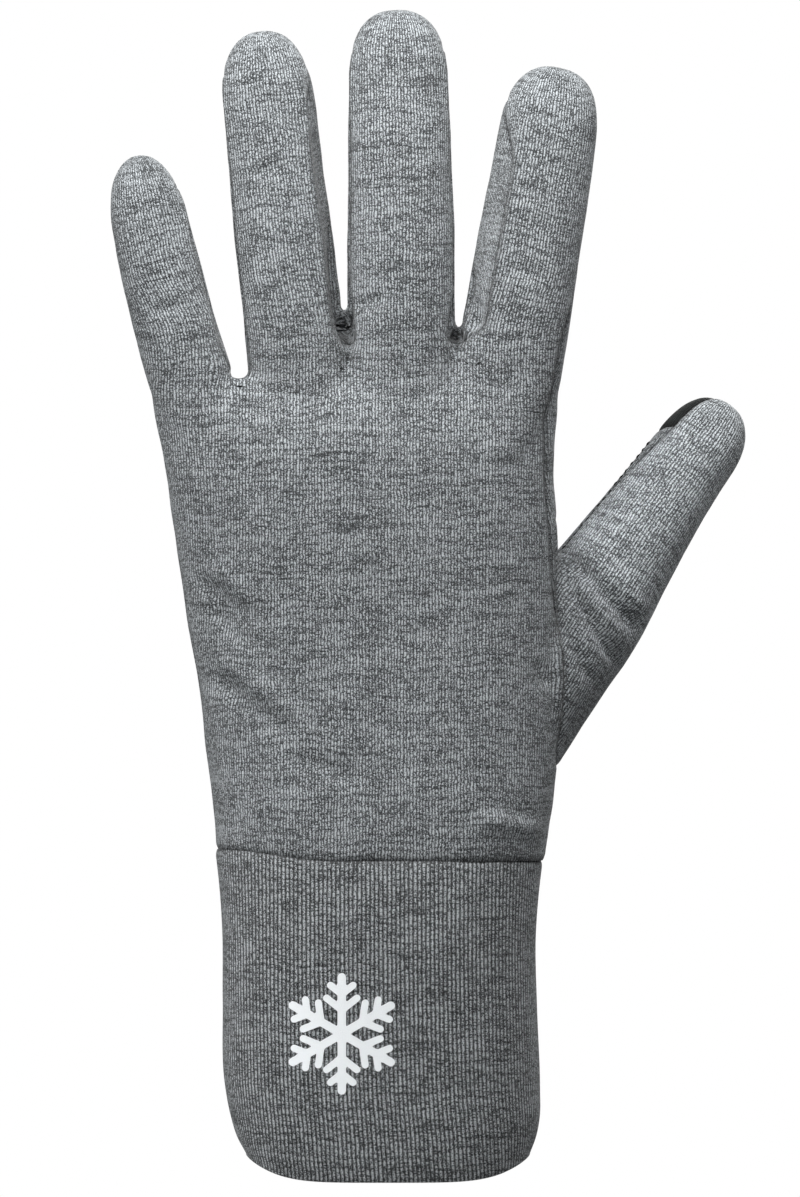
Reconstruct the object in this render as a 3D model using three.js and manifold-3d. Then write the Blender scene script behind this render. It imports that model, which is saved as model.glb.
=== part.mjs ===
// A knitted glove liner for the left hand, in the form that a hand gives it, with the fingers up.
// Z runs from the hem to the fingertips, X towards the thumb, and Y from the back of the hand to its palm.
// The origin is the middle of the opening at the hem, where the hand goes in. All sizes are in millimetres.
//
// The glove is sewn from separate pieces of knit: a back and a palm, each with four fingers, three side
// strips between the fingers, a thumb in two halves with a dark pad in its tip, and a cuff of two layers.
// Each piece is cut from one hollow form, and every seam keeps a small gap.
import * as THREE from "three";
import { mergeVertices } from "three/addons/utils/BufferGeometryUtils.js";
import Module from "manifold-3d";

const wasm = await Module();
wasm.setup();

// The knit
const WALL = 1.2; // one layer
const CUFF_WALL = 2.2; // the cuff is folded at the hem, so it has two layers
const SEAM_GAP = 0.3; // between two pieces that are sewn together

// The cuff and the wrist
const CUFF_HEIGHT = 71;
const CUFF_WIDTH = 70;
const CUFF_DEPTH = 46;
const WRIST_FLARE = 2.8; // how much wider the seam between the cuff and the hand is than the cuff
const WRIST_DEPTH = 44; // at that seam
const HEM_RISE = 5; // how far the hem lies higher at the sides than in the middle
const HEM_CINCH = 3.4; // how far the hem draws in at each side
const WRIST_LEAN = -2; // how far the wrist's middle lies towards the little finger's side from the hem's
const SEAM_DIP = 2.4; // how far the wrist seam lies lower at the thumb's side

// The hand
const HAND_LENGTH = 107; // from the wrist seam to the knuckle line, where the fingers part
const HAND_FOOT = 4; // how far the hand's form runs below the wrist seam before it is cut there
const PALM_WIDTH = 88;
const PALM_DEPTH = 31;
const FINGER_BEND = 9; // how far the tip of the longest finger leans towards the palm
const FINGER_ROOT = 17; // how far a finger's form runs down into the hand
const FINGER_SWELL = 1.2; // how much deeper the root's end is than the finger on the knuckle line
const FINGER_TAPER = 0.7; // and how wide it is, as a share

// The fingers, from the little finger to the index finger. across is the place of the finger's middle on the
// knuckle line, as a share of the palm's width. reach, wide and deep are shares of the finger's named sizes.
// lean and tip lean it towards the thumb at its root and at its tip, in degrees. blunt is the exponent of its
// rounded tip, where 2 is a half ellipse.
const FINGER_LENGTH = 82; // the longest finger, from the knuckle line to its tip
const FINGER_WIDTH = 24.6;
const FINGER_DEPTH = 20;
const FINGER_DOME = 17; // height of the rounded tip
const FINGERS = [
  { name: "little", across: -0.474, reach: 0.624, lean: -17, tip: -10, wide: 0.797, deep: 0.83, blunt: 2.1 },
  { name: "ring", across: -0.203, reach: 0.951, lean: -6.8, tip: -6, wide: 0.902, deep: 0.95, blunt: 2.3 },
  { name: "middle", across: 0.058, reach: 1.0, lean: 0, tip: -1.4, wide: 1.0, deep: 1.0, blunt: 2.6 },
  { name: "index", across: 0.322, reach: 0.856, lean: 9.8, tip: 9.2, wide: 0.992, deep: 0.98, blunt: 2.5 },
];

// The side strips between two fingers. web is the height of the crotch above the knuckle line, as a share of
// WEB_RISE. low and high are the angles, in degrees from the finger's side towards the back of the hand, of
// the strip's front seam on the finger nearer the little finger and on the next one. rear is the same for
// the seam in the palm.
const WEB_RISE = 5.6;
const STRIPS = [
  { name: "strip_little_ring", web: -0.14, low: 27, high: 24, rear: 38 },
  { name: "strip_ring_middle", web: 1.0, low: 43, high: 32, rear: 38 },
  { name: "strip_middle_index", web: 0.82, low: 22, high: 58, rear: 38 },
];
const STRIP_END = 8.5; // from a strip's upper end to the fingertip
const STRIP_FOOT = 6; // from a strip's lower end up to the crotch
const STRIP_REACH = 1.3; // how far a strip's cut runs out from the finger's middle, in half widths
const STRIP_POINT = 3; // half the angle that a strip keeps at its ends, in degrees
const WEB_WIDTH = 5;
const WEB_DEPTH = 11;
const WEB_FOOT = 1.5; // how much deeper the web's lower end is
const WEB_CREST = 2; // height of the web's rounded edge
const WEB_SLIM = 0.8; // how much less deep the web is on that edge

// The thumb
const THUMB_LENGTH = 99; // along its curved middle line, from a root inside the hand to the tip
const THUMB_WIDTH = 22;
const THUMB_DEPTH = 22;
const THUMB_DOME = 16;
const THUMB_BLUNT = 2.3;
const THUMB_ROOT_ACROSS = 0.3; // share of the palm's width
const THUMB_ROOT_UP = 0.21; // share of the hand's length
const THUMB_ROOT_BACK = 5; // how far its root lies towards the palm
const THUMB_ROOT_TILT = 28; // from upright towards the side, at the root and at the tip, in degrees
const THUMB_TILT = 38;
const THUMB_ROOT_SWING = 4; // from the plane of the hand towards the palm, at the root and at the tip
const THUMB_SWING = 27;
const THUMB_SEAM_SIDE = 0.436; // share of the palm's width where the thumb's seam runs down the back
const THUMB_SEAM_TURN = 30; // how the seam's plane turns inwards towards the palm, in degrees
const THUMB_SEAM_TOP = 0.695; // shares of the hand's length, of the seam's upper and lower ends
const THUMB_SEAM_FOOT = 0.17;
const THUMB_HALF_TURN = 16; // how far the seam between the halves turns towards the back, in degrees
const PAD_LENGTH = 15; // the dark pad, from the tip along the thumb

// Sections of the hand, from the wrist seam up. up is a share of the hand's length. spread goes from the
// wrist's width at 0 to the palm's at 1, and slim does so for the depth. lean moves the section across, as a
// share of the palm's width, and belly moves it towards the palm, as a share of its depth. fill shrinks
// the depth where the hand ends between the fingers.
const HAND_SECTIONS = [
  { up: 0.0, spread: 0.0, lean: 0.0, slim: 0.0, belly: 0.0, fill: 1.0 },
  { up: 0.14, spread: 0.28, lean: 0.01, slim: 0.1, belly: 0.02, fill: 1.0 },
  { up: 0.28, spread: 0.42, lean: 0.008, slim: 0.26, belly: 0.05, fill: 1.0 },
  { up: 0.44, spread: 0.55, lean: -0.012, slim: 0.5, belly: 0.06, fill: 1.0 },
  { up: 0.6, spread: 0.7, lean: -0.029, slim: 0.76, belly: 0.04, fill: 1.0 },
  { up: 0.74, spread: 0.84, lean: -0.044, slim: 0.94, belly: 0.02, fill: 0.98 },
  { up: 0.85, spread: 0.96, lean: -0.06, slim: 1.0, belly: 0.0, fill: 0.88 },
  { up: 0.93, spread: 1.04, lean: -0.067, slim: 1.0, belly: 0.0, fill: 0.74 },
  { up: 0.975, spread: 1.03, lean: -0.068, slim: 1.0, belly: 0.0, fill: 0.58 },
  { up: 1.0, spread: 0.97, lean: -0.07, slim: 1.0, belly: 0.0, fill: 0.4 },
];

// Sections of the cuff, from the hem up. spread goes from the cuff's width at 0 to the wrist's at 1, lean
// does so for the place across, and cinch is the share of the hem's drawing in.
const CUFF_SECTIONS = [
  { up: 0.0, spread: 0.0, lean: 0.0, cinch: 1.0 },
  { up: 0.05, spread: 0.0, lean: 0.15, cinch: 0.55 },
  { up: 0.12, spread: 0.0, lean: 0.3, cinch: 0.2 },
  { up: 0.22, spread: 0.0, lean: 0.6, cinch: 0.0 },
  { up: 0.5, spread: -0.05, lean: 0.9, cinch: 0.0 },
  { up: 0.74, spread: -0.1, lean: 1.0, cinch: 0.0 },
  { up: 0.88, spread: 0.35, lean: 1.0, cinch: 0.0 },
  { up: 1.0, spread: 1.0, lean: 1.0, cinch: 0.0 },
];

// Sections of a finger above the knuckle line. at is a share of the straight part below the domed tip.
const FINGER_SECTIONS = [
  { at: 0.0, width: 1.02, depth: 1.0 },
  { at: 0.35, width: 0.96, depth: 0.97 },
  { at: 0.7, width: 0.94, depth: 0.9 },
  { at: 1.0, width: 0.9, depth: 0.84 },
];

// Sections of the thumb below its domed tip, with at as a share of that stretch.
const THUMB_SECTIONS = [
  { at: 0.0, width: 1.1, depth: 1.25 },
  { at: 0.22, width: 1.14, depth: 1.14 },
  { at: 0.45, width: 1.24, depth: 1.04 },
  { at: 0.62, width: 1.12, depth: 0.98 },
  { at: 0.8, width: 0.98, depth: 0.92 },
  { at: 1.0, width: 0.88, depth: 0.86 },
];

// How finely the forms are faceted
const HAND_SIDES = 28;
const FINGER_SIDES = 16;
const DOME_STEPS = 4;
const CUT_STEPS = 6;
const HAND_SQUARE = 2.5; // exponent of the sections, where 2 is an ellipse
const FINGER_SQUARE = 2.2;

const FAR = 200; // reach of the cutting forms beyond the glove
const SIDE_STEP = 14; // between two corners of the curved side seam
const radians = THREE.MathUtils.degToRad;
const lerp = THREE.MathUtils.lerp;
const WRIST_WIDTH = CUFF_WIDTH + WRIST_FLARE;
const WRIST_Z = CUFF_HEIGHT;
const KNUCKLE_Z = CUFF_HEIGHT + HAND_LENGTH;
const SIDE = new THREE.Vector3(1, 0, 0);

// A closed mesh as a manifold-3d solid.
function solid(geometry) {
  const bare = new THREE.BufferGeometry().setAttribute("position", geometry.getAttribute("position"));
  if (geometry.index) bare.setIndex(geometry.index);
  const merged = mergeVertices(bare, 1e-4);
  return new wasm.Manifold(
    new wasm.Mesh({
      numProp: 3,
      vertProperties: new Float32Array(merged.attributes.position.array),
      triVerts: new Uint32Array(merged.index.array),
    }),
  );
}

// A closed solid through rings of points, with a fan over each end. The rings run round the same way.
function loft(rings) {
  const count = rings[0].length;
  const points = rings.flat();
  const faces = [];
  for (let r = 0; r + 1 < rings.length; r++) {
    for (let k = 0; k < count; k++) {
      const a = r * count + k;
      const b = r * count + ((k + 1) % count);
      faces.push(a, b, b + count, a, b + count, a + count);
    }
  }
  for (const [ring, turned] of [[0, true], [rings.length - 1, false]]) {
    const middle = new THREE.Vector3();
    rings[ring].forEach((p) => middle.addScaledVector(p, 1 / count));
    const hub = points.push(middle) - 1;
    for (let k = 0; k < count; k++) {
      const a = ring * count + k;
      const b = ring * count + ((k + 1) % count);
      faces.push(...(turned ? [hub, b, a] : [hub, a, b]));
    }
  }
  const geometry = new THREE.BufferGeometry().setFromPoints(points).setIndex(faces);
  const made = solid(geometry);
  if (made.volume() > 0) return made;
  for (let i = 0; i < faces.length; i += 3) [faces[i + 1], faces[i + 2]] = [faces[i + 2], faces[i + 1]];
  return solid(geometry.setIndex(faces));
}

// A point of a superellipse, with half sizes a and b, at an angle.
function rounded(angle, a, b, square) {
  const bend = (v) => Math.sign(v) * Math.abs(v) ** (2 / square);
  return [a * bend(Math.cos(angle)), b * bend(Math.sin(angle))];
}

// A flat outline in X and Z, given as pairs, pulled through the whole depth of the glove.
function cutThrough(outline, turn = 0, about = 0) {
  const shape = new THREE.Shape(outline.map(([x, z]) => new THREE.Vector2(x, z)));
  const geometry = new THREE.ExtrudeGeometry(shape, { depth: 2 * FAR, bevelEnabled: false });
  geometry.rotateX(Math.PI / 2).translate(-about, FAR, 0).rotateZ(radians(turn)).translate(about, 0, 0);
  return solid(geometry);
}

const join = (solids) => solids.reduce((a, b) => a.add(b));

// How far the fingers have curved towards the palm at a height, and how steeply they do there. The hand
// below them doesn't curve.
function bendAt(z) {
  return FINGER_BEND * Math.max(0, (z - KNUCKLE_Z) / FINGER_LENGTH) ** 2;
}

function slopeAt(z) {
  return (2 * FINGER_BEND * Math.max(0, z - KNUCKLE_Z)) / FINGER_LENGTH ** 2;
}

// Height of the wrist seam, which dips a little from the little finger's side to the middle.
function seamHeight(x) {
  const share = THREE.MathUtils.smoothstep(x, -WRIST_WIDTH / 2, -WRIST_WIDTH / 6);
  return WRIST_Z + SEAM_DIP * (1 - share);
}

// The hand without fingers and thumb. inset draws the whole surface in, for the inner face of the knit.
function handForm(inset) {
  const rings = HAND_SECTIONS.map((s, i) => {
    const half = lerp(WRIST_WIDTH, PALM_WIDTH, s.spread) / 2 - inset;
    const depth = (lerp(WRIST_DEPTH, PALM_DEPTH, s.slim) * s.fill) / 2 - inset;
    const first = i === 0;
    const last = i === HAND_SECTIONS.length - 1;
    const z = WRIST_Z + s.up * HAND_LENGTH - (first ? HAND_FOOT : 0) - (last ? inset : 0);
    return ring(HAND_SIDES, (angle) => {
      const [x, y] = rounded(angle, half, depth, HAND_SQUARE);
      return new THREE.Vector3(WRIST_LEAN + s.lean * PALM_WIDTH + x, s.belly * depth * 2 + y, z);
    });
  });
  return loft(rings);
}

function ring(sides, place) {
  return Array.from({ length: sides }, (_, k) => place((2 * Math.PI * k) / sides));
}

// The middle line of a finger: its place and the directions across and through it, at a distance above the
// knuckle line measured along the finger.
function fingerAt(finger, along) {
  const share = along / lengthOf(finger);
  const lean = radians(lerp(finger.lean, finger.tip, share));
  // The mean lean from the knuckle line up to here
  const mean = radians(lerp(finger.lean, finger.tip, share / 2));
  const z = KNUCKLE_Z + along * Math.cos(mean);
  const x = WRIST_LEAN + finger.across * PALM_WIDTH + along * Math.sin(mean);
  const middle = new THREE.Vector3(x, bendAt(z), z);
  const tangent = new THREE.Vector3(Math.sin(lean), slopeAt(z), Math.cos(lean)).normalize();
  const across = new THREE.Vector3(Math.cos(lean), 0, -Math.sin(lean));
  const through = new THREE.Vector3().crossVectors(tangent, across).normalize();
  return { middle, across, through, lean };
}

function lengthOf(finger) {
  return finger.reach * FINGER_LENGTH;
}

// Half sizes of a finger at a distance above the knuckle line.
function fingerSize(finger, along, inset) {
  const straight = lengthOf(finger) - FINGER_DOME;
  const share = Math.max(0, along / straight);
  const next = Math.max(1, FINGER_SECTIONS.findIndex((s) => s.at >= Math.min(share, 1)));
  const [a, b] = [FINGER_SECTIONS[next - 1], FINGER_SECTIONS[next]];
  const t = THREE.MathUtils.clamp((share - a.at) / (b.at - a.at), 0, 1);
  const sunk = THREE.MathUtils.clamp(-along / FINGER_ROOT, 0, 1);
  const width = FINGER_WIDTH * finger.wide * lerp(a.width, b.width, t) * lerp(1, FINGER_TAPER, sunk);
  const depth = FINGER_DEPTH * finger.deep * lerp(a.depth, b.depth, t) * lerp(1, FINGER_SWELL, sunk);
  const over = THREE.MathUtils.clamp((along - straight) / (FINGER_DOME - inset), 0, 1);
  const taper = (1 - over ** finger.blunt) ** (1 / finger.blunt);
  return { half: (width / 2 - inset) * taper, deep: (depth / 2 - inset) * taper };
}

// A finger, from its root inside the hand to its domed tip.
function fingerForm(finger, inset) {
  const straight = lengthOf(finger) - FINGER_DOME;
  const places = [-FINGER_ROOT, -FINGER_ROOT / 2, ...FINGER_SECTIONS.map((s) => s.at * straight)];
  for (let k = 1; k <= DOME_STEPS; k++) {
    const over = Math.sin((k / DOME_STEPS) * 0.48 * Math.PI);
    places.push(straight + over * (FINGER_DOME - inset));
  }
  const rings = places.map((along) => {
    const { middle, across, through } = fingerAt(finger, along);
    const { half, deep } = fingerSize(finger, along, inset);
    return ring(FINGER_SIDES, (angle) => {
      const [u, v] = rounded(angle, half, deep, FINGER_SQUARE);
      return middle.clone().addScaledVector(across, u).addScaledVector(through, v);
    });
  });
  return loft(rings);
}

// The bridge of knit at the bottom of the crotch between two fingers.
function webForm(strip, inset) {
  const top = KNUCKLE_Z + strip.web * WEB_RISE - inset;
  const foot = KNUCKLE_Z - FINGER_ROOT;
  const rings = [foot, top - WEB_CREST, top].map((z, i) => {
    const [low, high] = pairAt(strip, z);
    const slimmer = [WEB_FOOT, 1, WEB_SLIM][i];
    const middle = (low + high) / 2;
    return ring(FINGER_SIDES / 2, (angle) => {
      const [x, y] = rounded(angle, WEB_WIDTH / 2 + inset, (WEB_DEPTH / 2 - inset) * slimmer, 2);
      return new THREE.Vector3(middle + x, bendAt(z) + y, z);
    });
  });
  return loft(rings);
}

// The facing edges of the two fingers beside a strip, at a height.
function pairAt(strip, z) {
  const index = STRIPS.indexOf(strip);
  return [FINGERS[index], FINGERS[index + 1]].map((finger, i) => {
    const along = (z - KNUCKLE_Z) / Math.cos(radians(finger.lean));
    const { middle, lean } = fingerAt(finger, along);
    const edge = fingerSize(finger, Math.max(0, along), 0).half / Math.cos(lean);
    return middle.x + (i === 0 ? edge : -edge);
  });
}

// A wedge along one side of a finger, which cuts out the finger's part of a strip. grow widens it for the
// pieces that the strip is cut from.
function wedge(finger, side, front, rear, foot, grow) {
  const top = lengthOf(finger) - STRIP_END;
  const rings = [];
  for (let k = grow ? -1 : 0; k <= CUT_STEPS + (grow ? 1 : 0); k++) {
    const share = THREE.MathUtils.clamp(k / CUT_STEPS, 0, 1);
    const past = k < 0 ? -grow : k > CUT_STEPS ? grow : 0;
    const along = lerp(foot, top, share) + past;
    const { middle, across, through } = fingerAt(finger, along);
    const { half, deep } = fingerSize(finger, Math.max(along, 0), 0);
    const full = THREE.MathUtils.smootherstep(1 - share, 0, 0.3) * THREE.MathUtils.smoothstep(share, -0.08, 0.1);
    const spread = (degrees) => radians(lerp(STRIP_POINT, degrees, full)) + grow / half;
    const angles = [-spread(front), -spread(front) / 2, 0, spread(rear) / 2, spread(rear)];
    rings.push([
      middle.clone(),
      ...angles.map((angle) =>
        middle
          .clone()
          .addScaledVector(across, side * Math.cos(angle) * (half * STRIP_REACH + 2 * grow))
          .addScaledVector(through, Math.sin(angle) * (deep * STRIP_REACH + 2 * grow)),
      ),
    ]);
  }
  return loft(rings);
}

// The wedges of both fingers beside a strip.
function stripCutter(strip, grow) {
  const index = STRIPS.indexOf(strip);
  const foot = strip.web * WEB_RISE - STRIP_FOOT;
  return wedge(FINGERS[index], 1, strip.low, strip.rear, foot, grow).add(
    wedge(FINGERS[index + 1], -1, strip.high, strip.rear, foot, grow),
  );
}

// The thumb's middle line, turning from the root's direction to the tip's over its first half.
function thumbLine() {
  const steps = 48;
  const places = [];
  const at = new THREE.Vector3(
    WRIST_LEAN + THUMB_ROOT_ACROSS * PALM_WIDTH,
    THUMB_ROOT_BACK,
    WRIST_Z + THUMB_ROOT_UP * HAND_LENGTH,
  );
  for (let k = 0; k <= steps; k++) {
    const share = THREE.MathUtils.smoothstep(k / steps, 0, 0.9);
    const tilt = radians(lerp(THUMB_ROOT_TILT, THUMB_TILT, share));
    const swing = radians(lerp(THUMB_ROOT_SWING, THUMB_SWING, share));
    const flat = Math.cos(swing);
    const tangent = new THREE.Vector3(Math.sin(tilt) * flat, Math.sin(swing), Math.cos(tilt) * flat);
    const across = new THREE.Vector3(Math.cos(tilt), 0, -Math.sin(tilt));
    const through = new THREE.Vector3().crossVectors(tangent, across).normalize();
    places.push({ middle: at.clone(), across, through });
    at.addScaledVector(tangent, THUMB_LENGTH / steps);
  }
  return places;
}

const THUMB_LINE = thumbLine();

function thumbAt(along) {
  const exact = THREE.MathUtils.clamp(along / THUMB_LENGTH, 0, 1) * (THUMB_LINE.length - 1);
  const low = Math.min(Math.floor(exact), THUMB_LINE.length - 2);
  const [a, b] = [THUMB_LINE[low], THUMB_LINE[low + 1]];
  const mix = (key) => a[key].clone().lerp(b[key], exact - low);
  return { middle: mix("middle"), across: mix("across"), through: mix("through") };
}

// The thumb, from its root inside the hand to its domed tip.
function thumbForm(inset) {
  const straight = THUMB_LENGTH - THUMB_DOME;
  const rows = THUMB_SECTIONS.map((s) => ({ along: s.at * straight, width: s.width, depth: s.depth, over: 0 }));
  const last = THUMB_SECTIONS[THUMB_SECTIONS.length - 1];
  for (let k = 1; k <= DOME_STEPS; k++) {
    const over = Math.sin((k / DOME_STEPS) * 0.48 * Math.PI);
    rows.push({ along: straight + over * (THUMB_DOME - inset), width: last.width, depth: last.depth, over });
  }
  const rings = rows.map(({ along, width, depth, over }) => {
    const { middle, across, through } = thumbAt(along);
    const taper = (1 - over ** THUMB_BLUNT) ** (1 / THUMB_BLUNT);
    return ring(FINGER_SIDES, (angle) => {
      const half = ((THUMB_WIDTH / 2) * width - inset) * taper;
      const deep = ((THUMB_DEPTH / 2) * depth - inset) * taper;
      const [u, v] = rounded(angle, half, deep, FINGER_SQUARE);
      return middle.clone().addScaledVector(across, u).addScaledVector(through, v);
    });
  });
  return loft(rings);
}

// The space on the thumb's side of its seam.
function thumbZone(grow) {
  const side = WRIST_LEAN + THUMB_SEAM_SIDE * PALM_WIDTH - grow;
  const top = WRIST_Z + THUMB_SEAM_TOP * HAND_LENGTH + grow;
  const foot = WRIST_Z + THUMB_SEAM_FOOT * HAND_LENGTH - grow;
  const outline = [
    [side, foot],
    [side, top],
    [side + FAR / 2, top + FAR / 2],
    [side + FAR, top],
    [side + FAR, foot - FAR / 2],
    [side + FAR / 4, foot - FAR / 8],
  ];
  return cutThrough(outline, THUMB_SEAM_TURN, side);
}

// The space on one side of the seam between the thumb's halves: side is -1 for the back and 1 for the palm.
function thumbHalf(side) {
  const reach = THUMB_WIDTH * 1.5;
  const turn = radians(THUMB_HALF_TURN);
  const rings = [];
  for (let k = 0; k <= CUT_STEPS; k++) {
    const along = lerp(-THUMB_LENGTH / 5, THUMB_LENGTH * 1.2, k / CUT_STEPS);
    const { middle, across, through } = thumbAt(along);
    const past = Math.min(along, 0) + Math.max(along - THUMB_LENGTH, 0);
    const tangent = new THREE.Vector3().crossVectors(across, through);
    const hub = middle.clone().addScaledVector(tangent, past).addScaledVector(through, (side * SEAM_GAP) / 2);
    const flat = across.clone().multiplyScalar(Math.cos(turn)).addScaledVector(through, Math.sin(turn));
    const deep = through.clone().multiplyScalar(side * reach);
    rings.push([
      hub.clone().addScaledVector(flat, -reach),
      hub.clone().addScaledVector(flat, reach),
      hub.clone().addScaledVector(flat, reach).add(deep),
      hub.clone().addScaledVector(flat, -reach).add(deep),
    ]);
  }
  return loft(rings);
}

// The space past a plane across the thumb, towards its tip.
function thumbTip(fromTip) {
  const { middle, across, through } = thumbAt(THUMB_LENGTH - fromTip);
  const tangent = new THREE.Vector3().crossVectors(across, through).normalize();
  const reach = THUMB_WIDTH * 1.5;
  const corners = [[-1, -1], [1, -1], [1, 1], [-1, 1]];
  const rings = [0, THUMB_LENGTH / 2].map((on) =>
    corners.map(([u, v]) =>
      middle
        .clone()
        .addScaledVector(across, u * reach)
        .addScaledVector(through, v * reach)
        .addScaledVector(tangent, on),
    ),
  );
  return loft(rings);
}

// The space in front of the side seams (side -1), or behind them (side 1).
function handHalf(side) {
  const top = KNUCKLE_Z + FAR;
  const outline = [];
  for (let z = -FAR; z <= top; z += z < KNUCKLE_Z || z > KNUCKLE_Z + FAR / 2 ? FAR / 4 : SIDE_STEP) {
    outline.push(new THREE.Vector2(bendAt(z) + (side * SEAM_GAP) / 2, z));
  }
  const last = outline[outline.length - 1];
  outline.push(new THREE.Vector2(last.x + side * FAR, last.y), new THREE.Vector2(side * FAR, -FAR));
  const geometry = new THREE.ExtrudeGeometry(new THREE.Shape(outline), { depth: 2 * FAR, bevelEnabled: false });
  // The outline's x is the glove's Y and its y is the glove's Z.
  geometry.applyMatrix4(
    new THREE.Matrix4().makeBasis(new THREE.Vector3(0, 1, 0), new THREE.Vector3(0, 0, 1), SIDE),
  );
  return solid(geometry.translate(-FAR, 0, 0));
}

// The space above the wrist seam.
function aboveWrist() {
  const outline = [];
  for (let k = -CUT_STEPS; k <= CUT_STEPS; k++) {
    const x = (k / CUT_STEPS) * WRIST_WIDTH * 0.75;
    outline.push([x, seamHeight(x) + SEAM_GAP / 2]);
  }
  outline[0][0] = -FAR;
  outline[outline.length - 1][0] = FAR;
  outline.push([FAR, 2 * FAR], [-FAR, 2 * FAR]);
  return cutThrough(outline);
}

// The cuff, a tube whose wall runs down the outside, round the fold at the hem and up the inside.
function cuffForm() {
  const fold = CUFF_WALL / 2;
  const turns = [0.25, 0.5, 0.75];
  const rows = [];
  const sections = [...CUFF_SECTIONS].reverse();
  sections.forEach((s) => rows.push({ ...s, inset: 0, drop: 0 }));
  const hem = CUFF_SECTIONS[0];
  turns.forEach((t) =>
    rows.push({ ...hem, inset: fold * (1 - Math.cos(Math.PI * t)), drop: fold * Math.sin(Math.PI * t) }),
  );
  CUFF_SECTIONS.forEach((s) => rows.push({ ...s, inset: CUFF_WALL, drop: 0 }));
  const rings = rows.map((s) =>
    ring(HAND_SIDES, (angle) => {
      const half = lerp(CUFF_WIDTH, WRIST_WIDTH, s.spread) / 2 - s.inset - HEM_CINCH * s.cinch;
      const depth = lerp(CUFF_DEPTH, WRIST_DEPTH, s.spread) / 2 - s.inset - (HEM_CINCH / 3) * s.cinch;
      const [x, y] = rounded(angle, half, depth, HAND_SQUARE);
      const bottom = fold + HEM_RISE * Math.abs(Math.cos(angle)) ** 4;
      const lean = s.lean * WRIST_LEAN;
      const top = seamHeight(x + lean) - SEAM_GAP / 2;
      return new THREE.Vector3(x + lean, y, lerp(bottom, top, s.up) - s.drop);
    }),
  );
  return tube(rings);
}

// A closed solid through rings of points whose last ring joins the first.
function tube(rings) {
  const count = rings[0].length;
  const faces = [];
  rings.forEach((_, r) => {
    for (let k = 0; k < count; k++) {
      const next = (k + 1) % count;
      const [a, b] = [r * count, ((r + 1) % rings.length) * count];
      faces.push(a + k, b + k, b + next, a + k, b + next, a + next);
    }
  });
  const geometry = new THREE.BufferGeometry().setFromPoints(rings.flat()).setIndex(faces);
  const made = solid(geometry);
  if (made.volume() > 0) return made;
  for (let i = 0; i < faces.length; i += 3) [faces[i + 1], faces[i + 2]] = [faces[i + 2], faces[i + 1]];
  return solid(geometry.setIndex(faces));
}

// The whole form above the wrist, drawn in by inset.
function gloveForm(inset) {
  return join([
    handForm(inset),
    ...FINGERS.map((finger) => fingerForm(finger, inset)),
    ...STRIPS.map((strip) => webForm(strip, inset)),
    thumbForm(inset),
  ]);
}

const shell = gloveForm(0).subtract(gloveForm(WALL)).intersect(aboveWrist());
const zone = thumbZone(0);
const thumb = shell.intersect(zone);
const hand = shell.subtract(thumbZone(SEAM_GAP));
const stripsGrown = join(STRIPS.map((strip) => stripCutter(strip, SEAM_GAP)));
const sheets = hand.subtract(stripsGrown);
const tip = thumbTip(PAD_LENGTH);
const palmThumb = thumb.intersect(thumbHalf(1));

const KNIT = { color: 0x7d8385, roughness: 0.95, metalness: 0 };
const CUFF_KNIT = { color: 0x6c7173, roughness: 0.95, metalness: 0 };
const PAD_KNIT = { color: 0x16191a, roughness: 0.7, metalness: 0 };

const glove = new THREE.Group();
glove.name = "glove_liner";

// Adds a solid to the glove as a named mesh. Crumbs that a cut leaves beside the piece are dropped.
function add(name, form, look) {
  const whole = form.decompose().sort((a, b) => b.volume() - a.volume())[0];
  const mesh = whole.getMesh();
  const geometry = new THREE.BufferGeometry()
    .setAttribute("position", new THREE.BufferAttribute(mesh.vertProperties, mesh.numProp))
    .setIndex(new THREE.BufferAttribute(mesh.triVerts, 1));
  geometry.computeVertexNormals();
  const piece = new THREE.Mesh(geometry, new THREE.MeshStandardMaterial(look));
  piece.name = name;
  glove.add(piece);
}

add("back_panel", sheets.intersect(handHalf(-1)), KNIT);
add("palm_panel", sheets.intersect(handHalf(1)), KNIT);
STRIPS.forEach((strip) => add(strip.name, hand.intersect(stripCutter(strip, 0)), KNIT));
add("thumb_back", thumb.intersect(thumbHalf(-1)), KNIT);
add("thumb_palm", palmThumb.subtract(thumbTip(PAD_LENGTH + SEAM_GAP)), KNIT);
add("thumb_pad", palmThumb.intersect(tip), PAD_KNIT);
add("cuff", cuffForm(), CUFF_KNIT);

export default glove;
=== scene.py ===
"""A knitted glove liner for the left hand, held up with its back to the viewer, dressed and lit.

Lengths in the tables are in millimetres. Meshes are made in metres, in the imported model's frame.
X runs towards the thumb, Z towards the fingertips, and the back of the hand faces -Y.
"""

import logging
import math
from collections.abc import Callable, Sequence
from dataclasses import dataclass, field, replace
from enum import Enum, IntEnum

import bpy
import numpy as np
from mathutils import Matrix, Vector, kdtree, noise


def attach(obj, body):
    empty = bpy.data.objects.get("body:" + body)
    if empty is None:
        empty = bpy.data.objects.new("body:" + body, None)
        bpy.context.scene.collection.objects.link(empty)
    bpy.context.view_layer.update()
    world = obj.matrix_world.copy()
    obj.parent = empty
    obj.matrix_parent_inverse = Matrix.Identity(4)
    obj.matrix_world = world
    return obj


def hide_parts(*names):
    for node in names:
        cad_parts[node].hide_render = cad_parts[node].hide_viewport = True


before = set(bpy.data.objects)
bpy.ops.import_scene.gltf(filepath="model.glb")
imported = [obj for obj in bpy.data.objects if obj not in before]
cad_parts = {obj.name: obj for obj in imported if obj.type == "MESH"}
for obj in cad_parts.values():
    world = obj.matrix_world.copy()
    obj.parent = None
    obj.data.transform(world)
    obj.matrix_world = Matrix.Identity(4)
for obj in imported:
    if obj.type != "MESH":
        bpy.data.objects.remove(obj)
log = logging.getLogger("glove_liner")

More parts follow.
